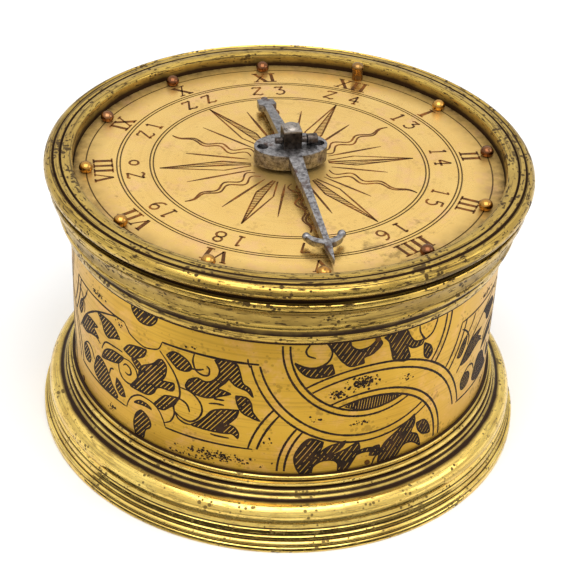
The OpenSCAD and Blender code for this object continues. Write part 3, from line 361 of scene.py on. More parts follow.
for side in (-1, 1):
    made = bmesh.ops.create_cone(bm, cap_ends=True, segments=32, radius1=knuckle_r * mm,
                                 radius2=knuckle_r * mm, depth=knuckle_long * mm)
    bmesh.ops.rotate(bm, cent=(0, 0, 0), matrix=Matrix.Rotation(pi / 2, 3, "Y"), verts=made["verts"])
    bmesh.ops.translate(bm, vec=(side * knuckle_side * mm, hinge_y * mm, hinge_z * mm), verts=made["verts"])
    made = bmesh.ops.create_cube(bm, size=mm)
    bmesh.ops.scale(bm, vec=(knuckle_long, 1.6, 0.7), verts=made["verts"])
    bmesh.ops.translate(bm, vec=(side * knuckle_side * mm, root_y * mm, root_z * mm), verts=made["verts"])
caps = [e for e in bm.edges if e.calc_face_angle(0) > 1]
bmesh.ops.bevel(bm, geom=caps, affect="EDGES", offset=0.08 * mm, segments=2, profile=0.5, material=-1)
knuckles = add_piece("hinge_knuckles", bm, foot_gilt)
for piece in (foot, seat, knuckles):
    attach(piece, "root")
    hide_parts("base_ring")

# The band is engraved with interlaced straps, panels and leaves, three times round. The engraver's
# cuts are filled with black, and stand here as thin inlays let into the gilding.
repeat = 2 * pi * band_r / 3
edge_gap = 0.02
graver = Random(8)


def smooth_line(points, closed=False, steps=5):
    """A smooth line through points given as x, y, x, y and so on."""
    spots = [Vector((x, y, 0)) for x, y in zip(points[::2], points[1::2])]
    last = len(spots) - 1

    def lead(i):
        """How far the line runs on past point i; not at all where it turns sharply, as at a leaf's tip."""
        before = spots[i - 1] if closed or i else spots[0]
        after = spots[(i + 1) % (last + 1)] if closed else spots[min(i + 1, last)]
        sharp = (spots[i] - before).angle(after - spots[i], 0) > radians(78)
        return (after - before) / (60 if sharp else 6)

    line = []
    for i in range(last + closed):
        follower = (i + 1) % (last + 1)
        here = spots[i]
        there = spots[follower]
        line += interpolate_bezier(here, here + lead(i), there - lead(follower), there, steps + 1)[:-1]
    return line if closed else line + [spots[-1]]


def cut(bm, line, width, taper=0.4, closed=False):
    """One cut of the graver: a strip along the line, as wide as width and finer at its ends."""
    last = len(line) - 1
    sides = {}
    for i, spot in enumerate(line):
        if closed:
            ahead = line[(i + 1) % (last + 1)] - line[i - 1]
        else:
            ahead = line[min(i + 1, last)] - line[max(i - 1, 0)]
        fine = 1 if closed else 1 - taper * abs(2 * i / last - 1) ** 3
        side = Vector((-ahead.y, ahead.x, 0)).normalized() * width * fine * graver.uniform(0.82, 1.12)
        sides[bm.verts.new(spot + side / 2)] = side
    chain = list(sides)
    edges = [bm.edges.new(pair) for pair in zip(chain, chain[1:] + chain[:1] * closed)]
    made = bmesh.ops.extrude_edge_only(bm, edges=edges)["geom"]
    for vert in [part for part in made if isinstance(part, bmesh.types.BMVert)]:
        start = next(e.other_vert(vert) for e in vert.link_edges if e.other_vert(vert) in sides)
        vert.co -= sides[start]


def slice_all(bm, spot, across, near=1e-6, clear_outer=False):
    bmesh.ops.bisect_plane(bm, geom=bm.verts[:] + bm.edges[:] + bm.faces[:], dist=near, plane_co=spot,
                           plane_no=across, clear_outer=clear_outer)


def hatch(bm, tilt, spacing, gap, low, high, missed=0.0):
    """Cuts every face by parallel lines at a tilt and takes out the thin strips between, but for a share."""
    across = Vector((-sin(radians(tilt)), cos(radians(tilt)), 0))
    for i in range(int((high - low) / spacing)):
        for place in (low + i * spacing, low + i * spacing + gap):
            slice_all(bm, across * place, across)
    strips = [face for face in bm.faces if (across.dot(face.calc_center_median()) - low) % spacing < gap
              and graver.random() > missed]
    bmesh.ops.delete(bm, geom=strips, context="FACES")
    bmesh.ops.dissolve_limit(bm, angle_limit=0.01, verts=bm.verts, edges=bm.edges)


def outlined(shapes, into, width=0.27):
    """Leaves as faces of a new bmesh, with their outlines cut into the drawing."""
    bm = bmesh.new()
    for shape in shapes:
        line = smooth_line(shape, True)
        cut(into, line, width, closed=True)
        bm.faces.new([bm.verts.new(spot) for spot in line])
    bm.normal_update()
    bmesh.ops.triangulate(bm, faces=bm.faces)
    return bm


def add_drawing(bm, extra):
    sheet = bpy.data.meshes.new("drawing")
    extra.to_mesh(sheet)
    extra.free()
    bm.from_mesh(sheet)
    bpy.data.meshes.remove(sheet)


def engraving(name, bm, material, place, proud=0.016, depth=0.04):
    """Bends a flat drawing into its place, gives it its depth and closes it."""
    bm.normal_update()
    bmesh.ops.reverse_faces(bm, faces=[f for f in bm.faces if f.normal.z < 0])
    made = bmesh.ops.extrude_face_region(bm, geom=bm.faces[:])["geom"]
    tops = {part for part in made if isinstance(part, bmesh.types.BMVert)}
    for vert in bm.verts:
        vert.co.z = proud if vert in tops else proud - depth
    bm.normal_update()
    bmesh.ops.reverse_faces(bm, faces=[f for f in bm.faces if f.normal.z > 0.5 and f.verts[0] not in tops])
    for vert in bm.verts:
        vert.co = place(vert.co)
    piece = add_piece(name, bm, material, closed=False)
    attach(piece, "root")
    return piece


# The straps are two circles that pass over and under each other. U hangs from the top edge and the
# arch stands on the bottom edge. The two inner lines of each run to the band's edges, and the two
# outer ones end at the panels.
strap_u = 13.1
hang_h, arch_h = 22.0, 0.5
strap_lines = (11.8, 12.8, 16.1, 17.3)
panel_low, panel_high = 3.9, 18.55
strap_steps = 180
straps = bmesh.new()


def strap_line(centre, other, radius, sign):
    """Half a circle round the centre, left out where it passes under the other strap."""
    inner = radius in strap_lines[:2]
    runs = [[]]
    for i in range(strap_steps + 1):
        angle = pi * i / strap_steps
        spot = Vector((strap_u - radius * cos(angle), centre + sign * radius * sin(angle), 0))
        from_other = (spot - Vector((strap_u, other, 0))).length
        under = sign * (spot.x - strap_u) < 0 and strap_lines[0] < from_other < strap_lines[3]
        if inner:
            inside = edge_gap < spot.y < band_h - edge_gap
        else:
            inside = panel_low <= spot.y <= panel_high
        if under or not inside:
            runs.append([])
        else:
            runs[-1].append(spot)
    for run in runs:
        if len(run) > 2:
            cut(straps, run, width=0.36, taper=0.2)


for radius in strap_lines:
    strap_line(hang_h, arch_h, radius, -1)
    strap_line(arch_h, hang_h, radius, 1)
for line, width in (
        ([-37.2, 18.5, -34, 18.5, -30, 18.55, -26, 18.5, -23.6, 18.5], 0.32),
        ([-23.6, 18.5, -22.9, 17.6, -22.3, 17, -20.1, 16.25, -18.6, 16.5, -17.3, 17.1, -16.7, 18.4], 0.24),
        ([-16.7, 18.45, -13, 18.55, -9, 18.6, -5, 18.6, -2.7, 18.65], 0.4),
        ([-36.3, 3.95, -33, 3.9, -28, 3.9, -23.6, 3.9], 0.32),
        ([-23.4, 3.9, -22.95, 5.25, -22.1, 6.5, -20.8, 7.4, -19.6, 7.5, -18.3, 7.25, -17.3, 6.5, -16.6, 5.25,
          -16.2, 4.1], 0.28),
        ([-16.2, 3.95, -12, 3.95, -8, 4, -3.2, 4.05], 0.34),
        ([-4.25, 19.4, -4.15, 18.6, -3.9, 18], 0.24)):
    cut(straps, smooth_line(line), width, taper=0.3)

# Leaves, scrolls and stems fill the panels and the knots. Leaves are shaded with slanting cuts, so
# that thin gold lines stay between them.
leaves = bmesh.new()
stems = (
    [-11.7, 18.4, -11.9, 17.1, -11.45, 15.75, -10.45, 15.25, -9.6, 15.5, -9.5, 16.5, -9.9, 16.9],
    [-12.3, 15.8, -11.2, 15.9, -10.3, 16.25],
    [-8.8, 18.3, -8.1, 17, -8.2, 15.75, -9.1, 14.6, -10.1, 14.25],
    [-13.8, 12, -12.1, 11.75, -10.8, 10.5, -10.45, 9, -11.1, 7.5, -12.3, 6.6, -13.8, 6.9, -14.6, 7.5],
    [-15.8, 9.75, -14.1, 10, -12.8, 9.5, -12.3, 8.25],
    [-14.6, 7.5, -14.1, 6.5, -13.1, 6.05, -12.1, 6.1],
    [-17.1, 16.9, -15.6, 15.25, -14.6, 13.75, -13.95, 12, -13.9, 10.25, -14.8, 8.5, -14.7, 7, -15.3, 5.5,
     -16.3, 4.75],
    [-9.5, 10.7, -8.4, 10.95, -7.3, 10.95],
    [-8.8, 11.7, -8, 11.75, -7.3, 11.8],
    [-9.2, 5.5, -8.3, 5.4, -6.5, 5.4],
    [-37.1, 9.7, -36.4, 10.6, -34.4, 13.25, -32.1, 15.25, -29.7, 16.75, -26.4, 18.1, -25.2, 18.4],
    [-34, 10.9, -32.1, 11.5, -30.7, 11.75, -29.6, 11.25],
    [-35.1, 7.9, -33.7, 8.9, -32.3, 8.5, -31.6, 7.25],
    [-29.2, 10.75, -28.1, 12.5, -25.9, 13, -24.1, 13.1],
    [-27.3, 7.5, -26.9, 8.6, -26.2, 8.9],
    [-25, 11.2, -24.9, 9.6, -24.2, 8.6, -23, 8.3, -21.7, 8.8, -21.1, 10.2, -21.5, 11.6, -22.7, 12.3,
     -24.2, 12.1],
    [-24, 10.9, -23.4, 11.4, -22.6, 11.1, -22.4, 10.3, -22.9, 9.8, -23.6, 9.9],
    [-36.9, 17.2, -35.6, 16.2, -34.7, 14.8, -34.9, 13.4],
    [-36.2, 14.9, -35.2, 15.5, -34, 16.9, -33.4, 18.2],
    [6, 22.5, 6.9, 21, 6.6, 19.5, 5.5, 18.6, 4, 18.4, 2.25, 19.1],
    [4.75, 20, 3.75, 20.4, 3.4, 21.25, 3.9, 22.25],
    [19.75, 22.5, 20, 21, 21, 19.4, 22.25, 20, 22.9, 21.5, 23, 22.4],
    [14, 0, 14.4, 1.2, 15.2, 1.8, 16.4, 1.6],
    [9.3, 0.2, 9.6, 1.3, 10.6, 1.7])
for line in stems:
    cut(leaves, smooth_line(line), width=0.32, taper=0.5)
panel_leaves = outlined((
    [-15.95, 16.6, -15.1, 17.5, -14.1, 17.6, -12.8, 17, -12.1, 15.9, -12.8, 15.1, -14.1, 15, -14.8, 15.5],
    [-8.6, 18.4, -8.1, 17, -8.2, 15.75, -9.1, 14.6, -10.1, 14.25, -11.3, 14.5, -12.45, 13.75, -12.95, 12.5,
     -12.1, 11.75, -9.8, 11.6, -7.8, 12.4, -6.45, 13.1, -7.3, 13.4, -8.3, 13.6, -7.3, 14.75, -6.7, 15.6,
     -5.8, 14.6, -4.2, 14, -3.4, 13.1, -3.8, 14.4, -4.8, 15.25, -5.2, 16.75, -5.95, 18.4],
    [-5.7, 12.9, -4.3, 12.9, -3.6, 12, -3.3, 10.5, -2.3, 9.1, -3.6, 9.6, -4.8, 10.25, -5.45, 11.5],
    [-12.1, 6.1, -10.8, 7.25, -9.8, 8.5, -8.95, 9.6, -7.3, 10.25, -5.3, 10.5, -5.6, 9.25, -6.8, 7.75,
     -5.8, 7.5, -5.2, 6.5, -5.3, 5.6, -6.1, 6.25, -7.3, 6.1, -9.8, 6],
    [-22.6, 8.1, -21.1, 10.25, -20.7, 12, -20.1, 12.9, -18.3, 14.1, -17.3, 15.25, -16.6, 15.4, -16, 14.5,
     -16.2, 13, -16.8, 11.9, -14.8, 12.25, -15, 10.9, -17.3, 10.5, -18.3, 9, -19.6, 8.25],
    [-18.1, 7.25, -17.1, 8.6, -16.1, 9.6, -14.3, 10, -14.5, 8.9, -15.6, 7.75, -16.6, 6.9, -17.7, 6.9],
    [-23.8, 13.75, -22.8, 15, -21.3, 15.6, -19.45, 15.9, -19.8, 14.75, -20.8, 13.9, -22.1, 13.25],
    [-22.2, 13, -21.2, 13.3, -20.4, 12.7, -20.6, 11.8, -21.3, 12],
    [-30.2, 16.5, -27.8, 16.75, -25.9, 16.4, -24.65, 15, -25.9, 14.5, -27.4, 13.75, -28.4, 14.25,
     -29, 15.5],
    [-36.1, 10.5, -34.9, 12.5, -33, 13.9, -30.2, 13.75, -31.6, 13, -30, 12, -32.5, 11.25, -34.2, 10.5],
    [-31.6, 5.25, -31.1, 7.5, -30.2, 8.75, -28.8, 8.6, -27.6, 7.5, -26.7, 6, -25.5, 4.75, -25.9, 4.1,
     -29.2, 4.1],
    [-29.2, 9.25, -28.3, 11, -26.4, 12.1, -23.9, 12.25, -25, 10.75, -27.1, 9.9],
    [-25.5, 7.75, -24.3, 7, -23.7, 5.5, -24.8, 5.25, -25.7, 6.25],
    [-35.5, 6.7, -35.1, 5.6, -34.2, 5.3, -33.2, 5.7, -32.9, 6.8, -33.5, 7.8, -34.5, 8.1, -35.3, 7.6],
    [-37.4, 12.6, -36.4, 14.6, -35.3, 15.1, -35.6, 13.6, -36.5, 12.3],
    [-22.05, 22.45, -21.9, 21.3, -20.9, 20.3, -19.8, 20.1, -18.6, 20.4, -17.7, 21.4, -17.5, 22.45],
    [-20.2, 4.9, -18.95, 4, -18.8, 2.75, -19.7, 1.75, -20.2, 0.1, -21.6, 0.1, -21.95, 1.75, -21.6, 3.5,
     -20.8, 4.6],
    [-21.8, 5.6, -20.7, 6.5, -19.3, 6.5, -18.6, 6, -20.1, 6]), leaves)
hatch(panel_leaves, tilt=54, spacing=0.5, gap=0.11, low=-20, high=52, missed=0.08)
add_drawing(leaves, panel_leaves)
knot_leaves = outlined((
    [5.1, 0.1, 5.3, 1.2, 6.2, 2, 7.2, 2.2, 8.4, 1.9, 9, 1, 9.1, 2.6, 8, 3.2, 6.4, 3.1, 5.2, 2.6],
    [10.3, 0.1, 10.7, 1.5, 11.6, 2.4, 12.9, 2.6, 14.2, 2.3, 15, 1.4, 15, 2.7, 13.9, 3.1, 12.4, 3.2,
     11, 2.6],
    [2, 19.25, 2.75, 17.9, 4, 16.9, 5.75, 16.75, 7.4, 17.25, 7, 18.75, 6, 18.6, 4, 18.25],
    [6.3, 22.4, 7.75, 20, 8.75, 18.75, 9.75, 18.1, 11.5, 18.4, 11.4, 19.25, 12.75, 19.75, 13.9, 21,
     13.25, 22, 12, 20.9, 10.5, 20.75, 9.5, 21.5, 9, 22.4],
    [14.2, 21.9, 15, 21, 15.5, 19.25, 16, 17.75, 17.75, 17, 18.6, 17.4, 18.25, 18.5, 17.75, 19.75,
     19, 18.75, 20.5, 18.75, 20.75, 19.5, 19.25, 19.75, 18.25, 21, 17.25, 22.4],
    [21, 18.75, 22.25, 17.75, 22.6, 16.5, 22, 15.75, 21.25, 16.5, 21, 17.75],
    [3.5, 0.1, 2.6, 2.5, 3.1, 4.5, 4.5, 6.25, 6.5, 5.5, 6.25, 4.25, 5.25, 3, 5.1, 1.25, 4.75, 0.1],
    [5.75, 3.25, 7.25, 4.6, 9.75, 5.25, 9.25, 4.25, 8, 3.4],
    [8, 3, 9.75, 3.75, 11.5, 4.75, 11.9, 3.5, 11.25, 2, 10.2, 0.1, 8.9, 0.1, 8.75, 1.75],
    [13.5, 1.8, 13.9, 3.1, 14.9, 3.2, 15.1, 2.1, 14.4, 1.6],
    [15, 0.1, 15, 1, 15.5, 3, 17.25, 4.5, 19.25, 5.75, 20.5, 6.6, 20.75, 5, 20.25, 3.5, 21.5, 2.5,
     22.25, 0.2, 20.6, 1.6, 19, 1.7, 17.8, 0.1],
    [21.1, 4.75, 22.5, 4.75, 23.6, 3.25, 24, 1.75, 22.5, 2.25, 21.5, 3.5]), leaves)
hatch(knot_leaves, tilt=57, spacing=0.66, gap=0.11, low=-20, high=20, missed=0.12)
add_drawing(leaves, knot_leaves)
lens = outlined(([9.2, 11.3, 11, 12, 13.1, 12.35, 15.4, 12, 17.4, 11.2, 15.2, 10.5, 13.1, 10.25, 11, 10.6],),
                leaves, width=0.16)
hatch(lens, tilt=84, spacing=0.4, gap=0.09, low=-20, high=0, missed=0.1)
add_drawing(leaves, lens)

# Black pits have eaten into the gilding in a few places, as if acid had splashed there.
rot = Random(11)
for across_u, across_h, spread_u, spread_h, count in (
        (-8, 1.8, 4.6, 0.9, 190), (11.6, 15.1, 2, 1.0, 170), (8, 13.6, 1.1, 0.6, 60),
        (11.4, 8.1, 1.6, 0.5, 22), (-30, 19.6, 1.6, 0.5, 34), (-26.8, 1.6, 0.8, 0.8, 22),
        (-13, 0.5, 3.5, 0.4, 30), (18.8, 14, 1.2, 0.7, 12), (-12, 19.4, 1.2, 0.3, 8),
        (-1.2, 5.5, 0.8, 0.6, 8), (-24.8, 17.6, 0.6, 0.8, 9), (5.5, 9.5, 1, 0.6, 10)):
    for i in range(count):
        spot = Vector((rot.gauss(across_u, spread_u / 2), rot.gauss(across_h, spread_h / 2), 0))
        size = 0.05 + 0.16 * rot.random() ** 2
        if size < spot.y < band_h - size:
            made = bmesh.ops.create_circle(leaves, cap_ends=True, segments=6, radius=size)["verts"]
            for vert in made:
                vert.co *= rot.uniform(0.7, 1.5)
                vert.co += spot

# The drawing is trimmed to the band, cut into columns a millimetre wide so that it bends round, and
# repeated.
for bm in (straps, leaves):
    slice_all(bm, (0, edge_gap, 0), (0, -1, 0), clear_outer=True)
    slice_all(bm, (0, band_h - edge_gap, 0), (0, 1, 0), clear_outer=True)
    for column in range(-39, 31):
        slice_all(bm, (column, 0, 0), (1, 0, 0))
    third = bm.copy()
    for _ in range(2):
        bmesh.ops.translate(third, vec=(repeat, 0, 0), verts=third.verts)
        add_drawing(bm, third.copy())
    third.free()


def on_band(spot):
    angle = radians(front_angle) + spot.x / band_r
    reach = band_r + spot.z
    return Vector((reach * cos(angle), reach * sin(angle), foot_top + spot.y)) * mm


def niello(name, colour, rough):
    """Black filling of the engraver's cuts, dusty brown in places."""
    material = bpy.data.materials.new(name)
    tree = tree_of(material)
    place = put(tree, "ShaderNodeTexCoord").outputs["Object"]
    dust = ramp(tree, noise(tree, place, 420.0, 4.0, 0.7), 0.45, 0.75)
    tone = mixed(tree, dust, paint(*colour), paint(*[min(255, 1.9 * v) for v in colour]))
    grain = noise(tree, place, 2600.0, 2.0)
    bump = put(tree, "ShaderNodeBump", Strength=0.4, Distance=0.00003, Height=grain).outputs[0]
    skin = put(tree, "ShaderNodeBsdfPrincipled", Base_Color=tone, Normal=bump, Specular_IOR_Level=0.15,
               Roughness=sums(tree, "MULTIPLY_ADD", grain, 0.3, rough))
    put(tree, "ShaderNodeOutputMaterial", Surface=skin.outputs[0])
    return material


band_black = niello("band_black", (34, 22, 12), rough=0.5)
for name, bm in (("strap_cuts", straps), ("leaf_cuts", leaves)):
    engraving(name, bm, band_black, on_band)

# The dial is a brass plate, gilt and scratch-brushed. Ring lines, hours and rays are cut into it and
# filled with brown wax.
dial_top = 41.6
stain_spot = (0.0222, -0.0165, 0.0416)


def dial_dirt(tree, place, part, radius):
    """Dirt lies in the turned lines, round the hand's boss and in brown stains by IIII.
    Along the wall the dial darkens with dirt and painted shade.
    """
    grooves = ramp(tree, part[2], (dial_top - 0.02) * mm, (dial_top - 0.06) * mm, To_Max=0.9)
    # Darker towards the wall: painted shade from the rim's wall, with dirt.
    edge = ramp(tree, radius, 0.0262, 0.0312)
    middle = ramp(tree, radius, 0.0085, 0.003, To_Max=0.75)
    blotch = noise(tree, place, 520.0, 4.0, 0.65)
    away = put(tree, "ShaderNodeVectorMath", {"operation": "DISTANCE"}, _0=place, _1=stain_spot)
    stain = ramp(tree, away.outputs["Value"], 0.0105, 0.002, To_Max=0.42)
    stain = sums(tree, "ADD", blotch, sums(tree, "MULTIPLY_ADD", stain, 0.4, -0.12))
    stain = ramp(tree, stain, 0.5, 0.66, To_Max=0.6)
    patchy = sums(tree, "MULTIPLY_ADD", blotch, 1.4, 0.1)
    wall_shade_and_boss_dirt = sums(tree, "MULTIPLY", sums(tree, "ADD", edge, middle), patchy)
    return sums(tree, "MAXIMUM", grooves, sums(tree, "MAXIMUM", stain, wall_shade_and_boss_dirt))


dial_gilt = gilt("dial_gilt", (245, 209, 128), (228, 181, 94), rough=0.27, worn=(236, 182, 142),
                 turned=0.1, pits=0.2, haze=0.6, more_dirt_and_shade=dial_dirt)
for slot in frame["nodes"]["dial_plate"].material_slots:
    slot.material = dial_gilt
dial_cuts = bmesh.new()
hour_r, count_r = 26.6, 22.2


def turned_to(line, clock, radius=0):
    """Takes a line drawn upright to its hour: clock in degrees, its middle at radius."""
    turn = Matrix.Rotation(radians(-clock), 3, "Z")
    return [turn @ (spot + Vector((0, radius, 0))) for spot in line]


def letter(parts, clock, radius, thick, shift):
    """Cuts a sign's strokes. Those of three points or fewer are straight, and the others are curves."""
    for part in parts:
        points = [v + (shift if i % 2 == 0 else 0) for i, v in enumerate(part)]
        line = [Vector((x, y, 0)) for x, y in zip(points[::2], points[1::2])]
        curved = line if len(line) < 4 else smooth_line(points)
        cut(dial_cuts, turned_to(curved, clock, radius), thick, taper=0)


# Each Roman sign has its width, its broad strokes, and its thin strokes with their serifs.
signs = {
    "I": (1.35, ([0, -1.3, 0, 1.3],), ([-0.6, 1.3, 0.6, 1.3], [-0.6, -1.3, 0.6, -1.3])),
    "V": (2.5, ([-0.85, 1.3, 0.05, -1.3],),
          ([0, -1.3, 0.85, 1.3], [-1.25, 1.3, -0.35, 1.3], [0.45, 1.3, 1.25, 1.3])),
    "X": (2.3, ([-0.8, 1.3, 0.8, -1.3],),
          ([0.8, 1.3, -0.8, -1.3], [-1.2, 1.3, -0.3, 1.3], [0.3, 1.3, 1.2, 1.3], [-1.2, -1.3, -0.3, -1.3],
           [0.3, -1.3, 1.2, -1.3]))}
for i, numeral in enumerate(("XII", "I", "II", "III", "IIII", "V", "VI", "VII", "VIII", "IX", "X", "XI")):
    left = -sum(signs[sign][0] for sign in numeral) / 2
    for sign in numeral:
        wide, broad, thin = signs[sign]
        letter(broad, 30 * i, hour_r, thick=0.56, shift=left + wide / 2)
        letter(thin, 30 * i, hour_r, thick=0.27, shift=left + wide / 2)
        left += wide

ring_dot = [0, -0.65, 0.46, -0.46, 0.65, 0, 0.46, 0.46, 0, 0.65, -0.46, 0.46, -0.65, 0, -0.46, -0.46,
            0, -0.65]
figures = {
    "1": ([0, -1.2, 0, 1.2], [-0.45, -1.2, 0.45, -1.2], [-0.45, 0.85, 0, 1.2]),
    "2": ([-0.7, 0.8, -0.5, 1.15, 0, 1.1, 0.75, 1.2], [0.7, 1.15, -0.75, -1.15],
          [-0.75, -1.15, -0.2, -1, 0.4, -1.2, 0.85, -0.9]),
    "3": ([-0.65, 0.85, -0.45, 1.15, 0.1, 1.1, 0.6, 1.2], [0.6, 1.2, -0.1, 0.25],
          [-0.1, 0.25, 0.5, 0.1, 0.7, -0.45, 0.4, -1.05, -0.2, -1.2, -0.65, -0.9]),
    "4": ([0.2, -1.2, 0.2, 1.2], [0.2, 1.2, -0.8, -0.35], [-0.8, -0.35, 0.8, -0.35],
          [-0.15, -1.2, 0.55, -1.2]),
    "5": ([0.6, 1.15, -0.45, 1.15], [-0.45, 1.15, -0.5, 0.2],
          [-0.5, 0.2, 0.1, 0.35, 0.6, -0.15, 0.5, -0.9, -0.1, -1.2, -0.6, -1]),
    "6": ([0.6, 1.1, 0, 1, -0.5, 0.3, -0.6, -0.5, -0.2, -1.15, 0.4, -1.05, 0.65, -0.5, 0.35, 0, -0.2, 0,
           -0.55, -0.35],),
    "7": ([-0.6, 1.15, 0.65, 1.15], [0.65, 1.15, -0.15, -1.2]),
    "8": ([v * 0.9 + (0.65 if i % 2 else 0) for i, v in enumerate(ring_dot)],
          [v + (-0.6 if i % 2 else 0) for i, v in enumerate(ring_dot)]),
    "0": (ring_dot,)}
figures["9"] = tuple([-v for v in part] for part in figures["6"])
for hour, spread in ((13, 1.45), (14, 1.6), (15, 1.5), (16, 1.55), (17, 1.4), (18, 1.4), (19, 1.25),
                     (20, 1.8), (21, 1.45), (22, 1.8), (23, 1.75), (24, 2)):
    for sign, shift in zip(str(hour), (-spread, spread)):
        letter(figures[sign], 30 * (hour - 12), count_r, thick=0.34, shift=shift)

# The sun in the middle has six split rays, six flames and twelve needle rays between them.
ray_foot, ray_belly = 5.6, 9.6
flame_foot, flame_steps = 5.8, 40
needle_foot = 6
shade = bmesh.new()
for clock, tip in ((0, 19.5), (60, 18.1), (120, 19.2), (180, 18), (240, 18.7), (300, 19.4)):
    foot_middle = Vector((0, ray_foot, 0))
    point = Vector((0, tip, 0))
    for side in (-1, 1):
        foot_side = Vector((side * 0.35, ray_foot, 0))
        belly = Vector((side * 1.3, ray_belly, 0))
        cut(dial_cuts, turned_to([foot_side, belly], clock), width=0.25, taper=0)
        cut(dial_cuts, turned_to([belly, belly.lerp(point, 0.5), point], clock), width=0.28, taper=0.25)
    cut(dial_cuts, turned_to([foot_middle, Vector((0, 12, 0)), point], clock), width=0.25, taper=0.2)
    half = turned_to([foot_middle, foot_side, belly, point], clock)
    shade.faces.new([shade.verts.new(spot) for spot in half])
hatch(shade, tilt=33, spacing=0.42, gap=0.24, low=-21, high=21)
add_drawing(dial_cuts, shade)
for clock, tip in ((30, 18.7), (90, 19.2), (150, 18.6), (210, 18.5), (270, 18.5), (330, 18.5)):
    for side in (-1, 1):
        flame = []
        for i in range(flame_steps + 1):
            share = i / flame_steps
            along = flame_foot + (tip - flame_foot) * i / flame_steps
            swing = (0.75 - 0.5 * share) * sin(2 * pi * 3 * i / flame_steps)
            flame.append(Vector((swing + side * 0.62 * (1 - share) ** 0.8, along, 0)))
        cut(dial_cuts, turned_to(flame, clock), width=0.32, taper=0.4)
for clock, tip in ((15, 15), (45, 14.6), (75, 14.1), (105, 14.1), (135, 14.5), (165, 14.8), (195, 15.7),
                   (225, 15.8), (255, 15.1), (285, 16), (315, 16.2), (345, 15.9)):
    needle = [Vector((0, needle_foot + (tip - needle_foot) * i / 6, 0)) for i in range(7)]
    cut(dial_cuts, turned_to(needle, clock), width=0.38, taper=0.7)


def on_dial(spot):
    return Vector((spot.x, spot.y, dial_top + spot.z)) * mm


dial_brown = niello("dial_brown", (76, 46, 16), rough=0.5)
engraving("dial_cuts", dial_cuts, dial_brown, on_dial, proud=0.012)

# Twelve round-headed pins stand at the hours, to be felt in the dark. XII is the tallest. Handling has
# worn some of them to the copper.
pin_ring_r = 29.1
tall = 2.8
pin_gold = gilt("pin_gold", (206, 158, 78), (140, 94, 42), rough=0.2, worn=(150, 92, 50), turned=0.0,
                pits=0.6, haze=0.9)
pin_copper = gilt("pin_copper", (134, 88, 56), (80, 48, 32), rough=0.2, worn=(196, 146, 100), turned=0.0,
                  pits=0.6, haze=0.5)
pin_tall = gilt("pin_tall", (170, 128, 70), (104, 74, 42), rough=0.24, worn=(140, 110, 90), turned=0.0,
                pits=0.5, haze=0.9)
pin_finishes = {hour: pin_copper if hour in (2, 4, 9, 10, 11) else pin_gold for hour in range(1, 12)}
pin_finishes[12] = pin_tall
dome = [radians(a) for a in range(-30, 76, 15)]
low_pin = [(0.6, -0.05), (0.66, 0), (0.74, 0.06)] + [(cos(a), 0.62 + 0.9 * sin(a)) for a in dome]
tall_pin = [(0.84, -0.05), (0.88, 0.05), (0.86, 0.5), (0.8, tall - 1.3), (0.84, tall - 1.2)]
tall_pin += [(0.96 * cos(a), tall - 0.8 + 0.8 * sin(a)) for a in dome]
pin_shape = Random(4)
for hour in (12, *range(1, 12)):
    clock = radians(90 - 30 * (hour % 12))
    profile = tall_pin if hour == 12 else low_pin
    bm = bmesh.new()
    line = [bm.verts.new((r * mm, 0, z * mm)) for r, z in profile]
    line.append(bm.verts.new((0, 0, (profile[-1][1] + 0.03) * mm)))
    line.append(bm.verts.new((0, 0, -0.05 * mm)))
    edges = [bm.edges.new((line[i - 1], line[i])) for i in range(len(line) - 2, 0, -1)]
    edges.append(bm.edges.new((line[-1], line[0])))
    bmesh.ops.spin(bm, geom=line + edges, cent=(0, 0, 0), axis=(0, 0, 1), angle=2 * pi, steps=28,
                   use_merge=True, use_normal_flip=False, use_duplicate=False)
    bmesh.ops.remove_doubles(bm, verts=bm.verts, dist=1e-7)
    forward = Matrix.Rotation(radians(pin_shape.uniform(-3, 3)), 3, "X")
    sideways = Matrix.Rotation(radians(pin_shape.uniform(-3, 3)), 3, "Y")
    bmesh.ops.rotate(bm, cent=(0, 0, 0), matrix=forward @ sideways, verts=bm.verts)
    spot = (pin_ring_r * mm * cos(clock), pin_ring_r * mm * sin(clock), dial_top * mm)
    bmesh.ops.translate(bm, vec=spot, verts=bm.verts)
    pin = add_piece("touch_pin_%d" % hour, bm, pin_finishes[hour], hard=50)
    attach(pin, "root")
    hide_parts("twelve_pin" if hour == 12 else "touch_pins")

# The hand, its arbor and the pin that holds it are forged and filed steel, pitted and patched with
# rust. The end of the arbor is rubbed bright.


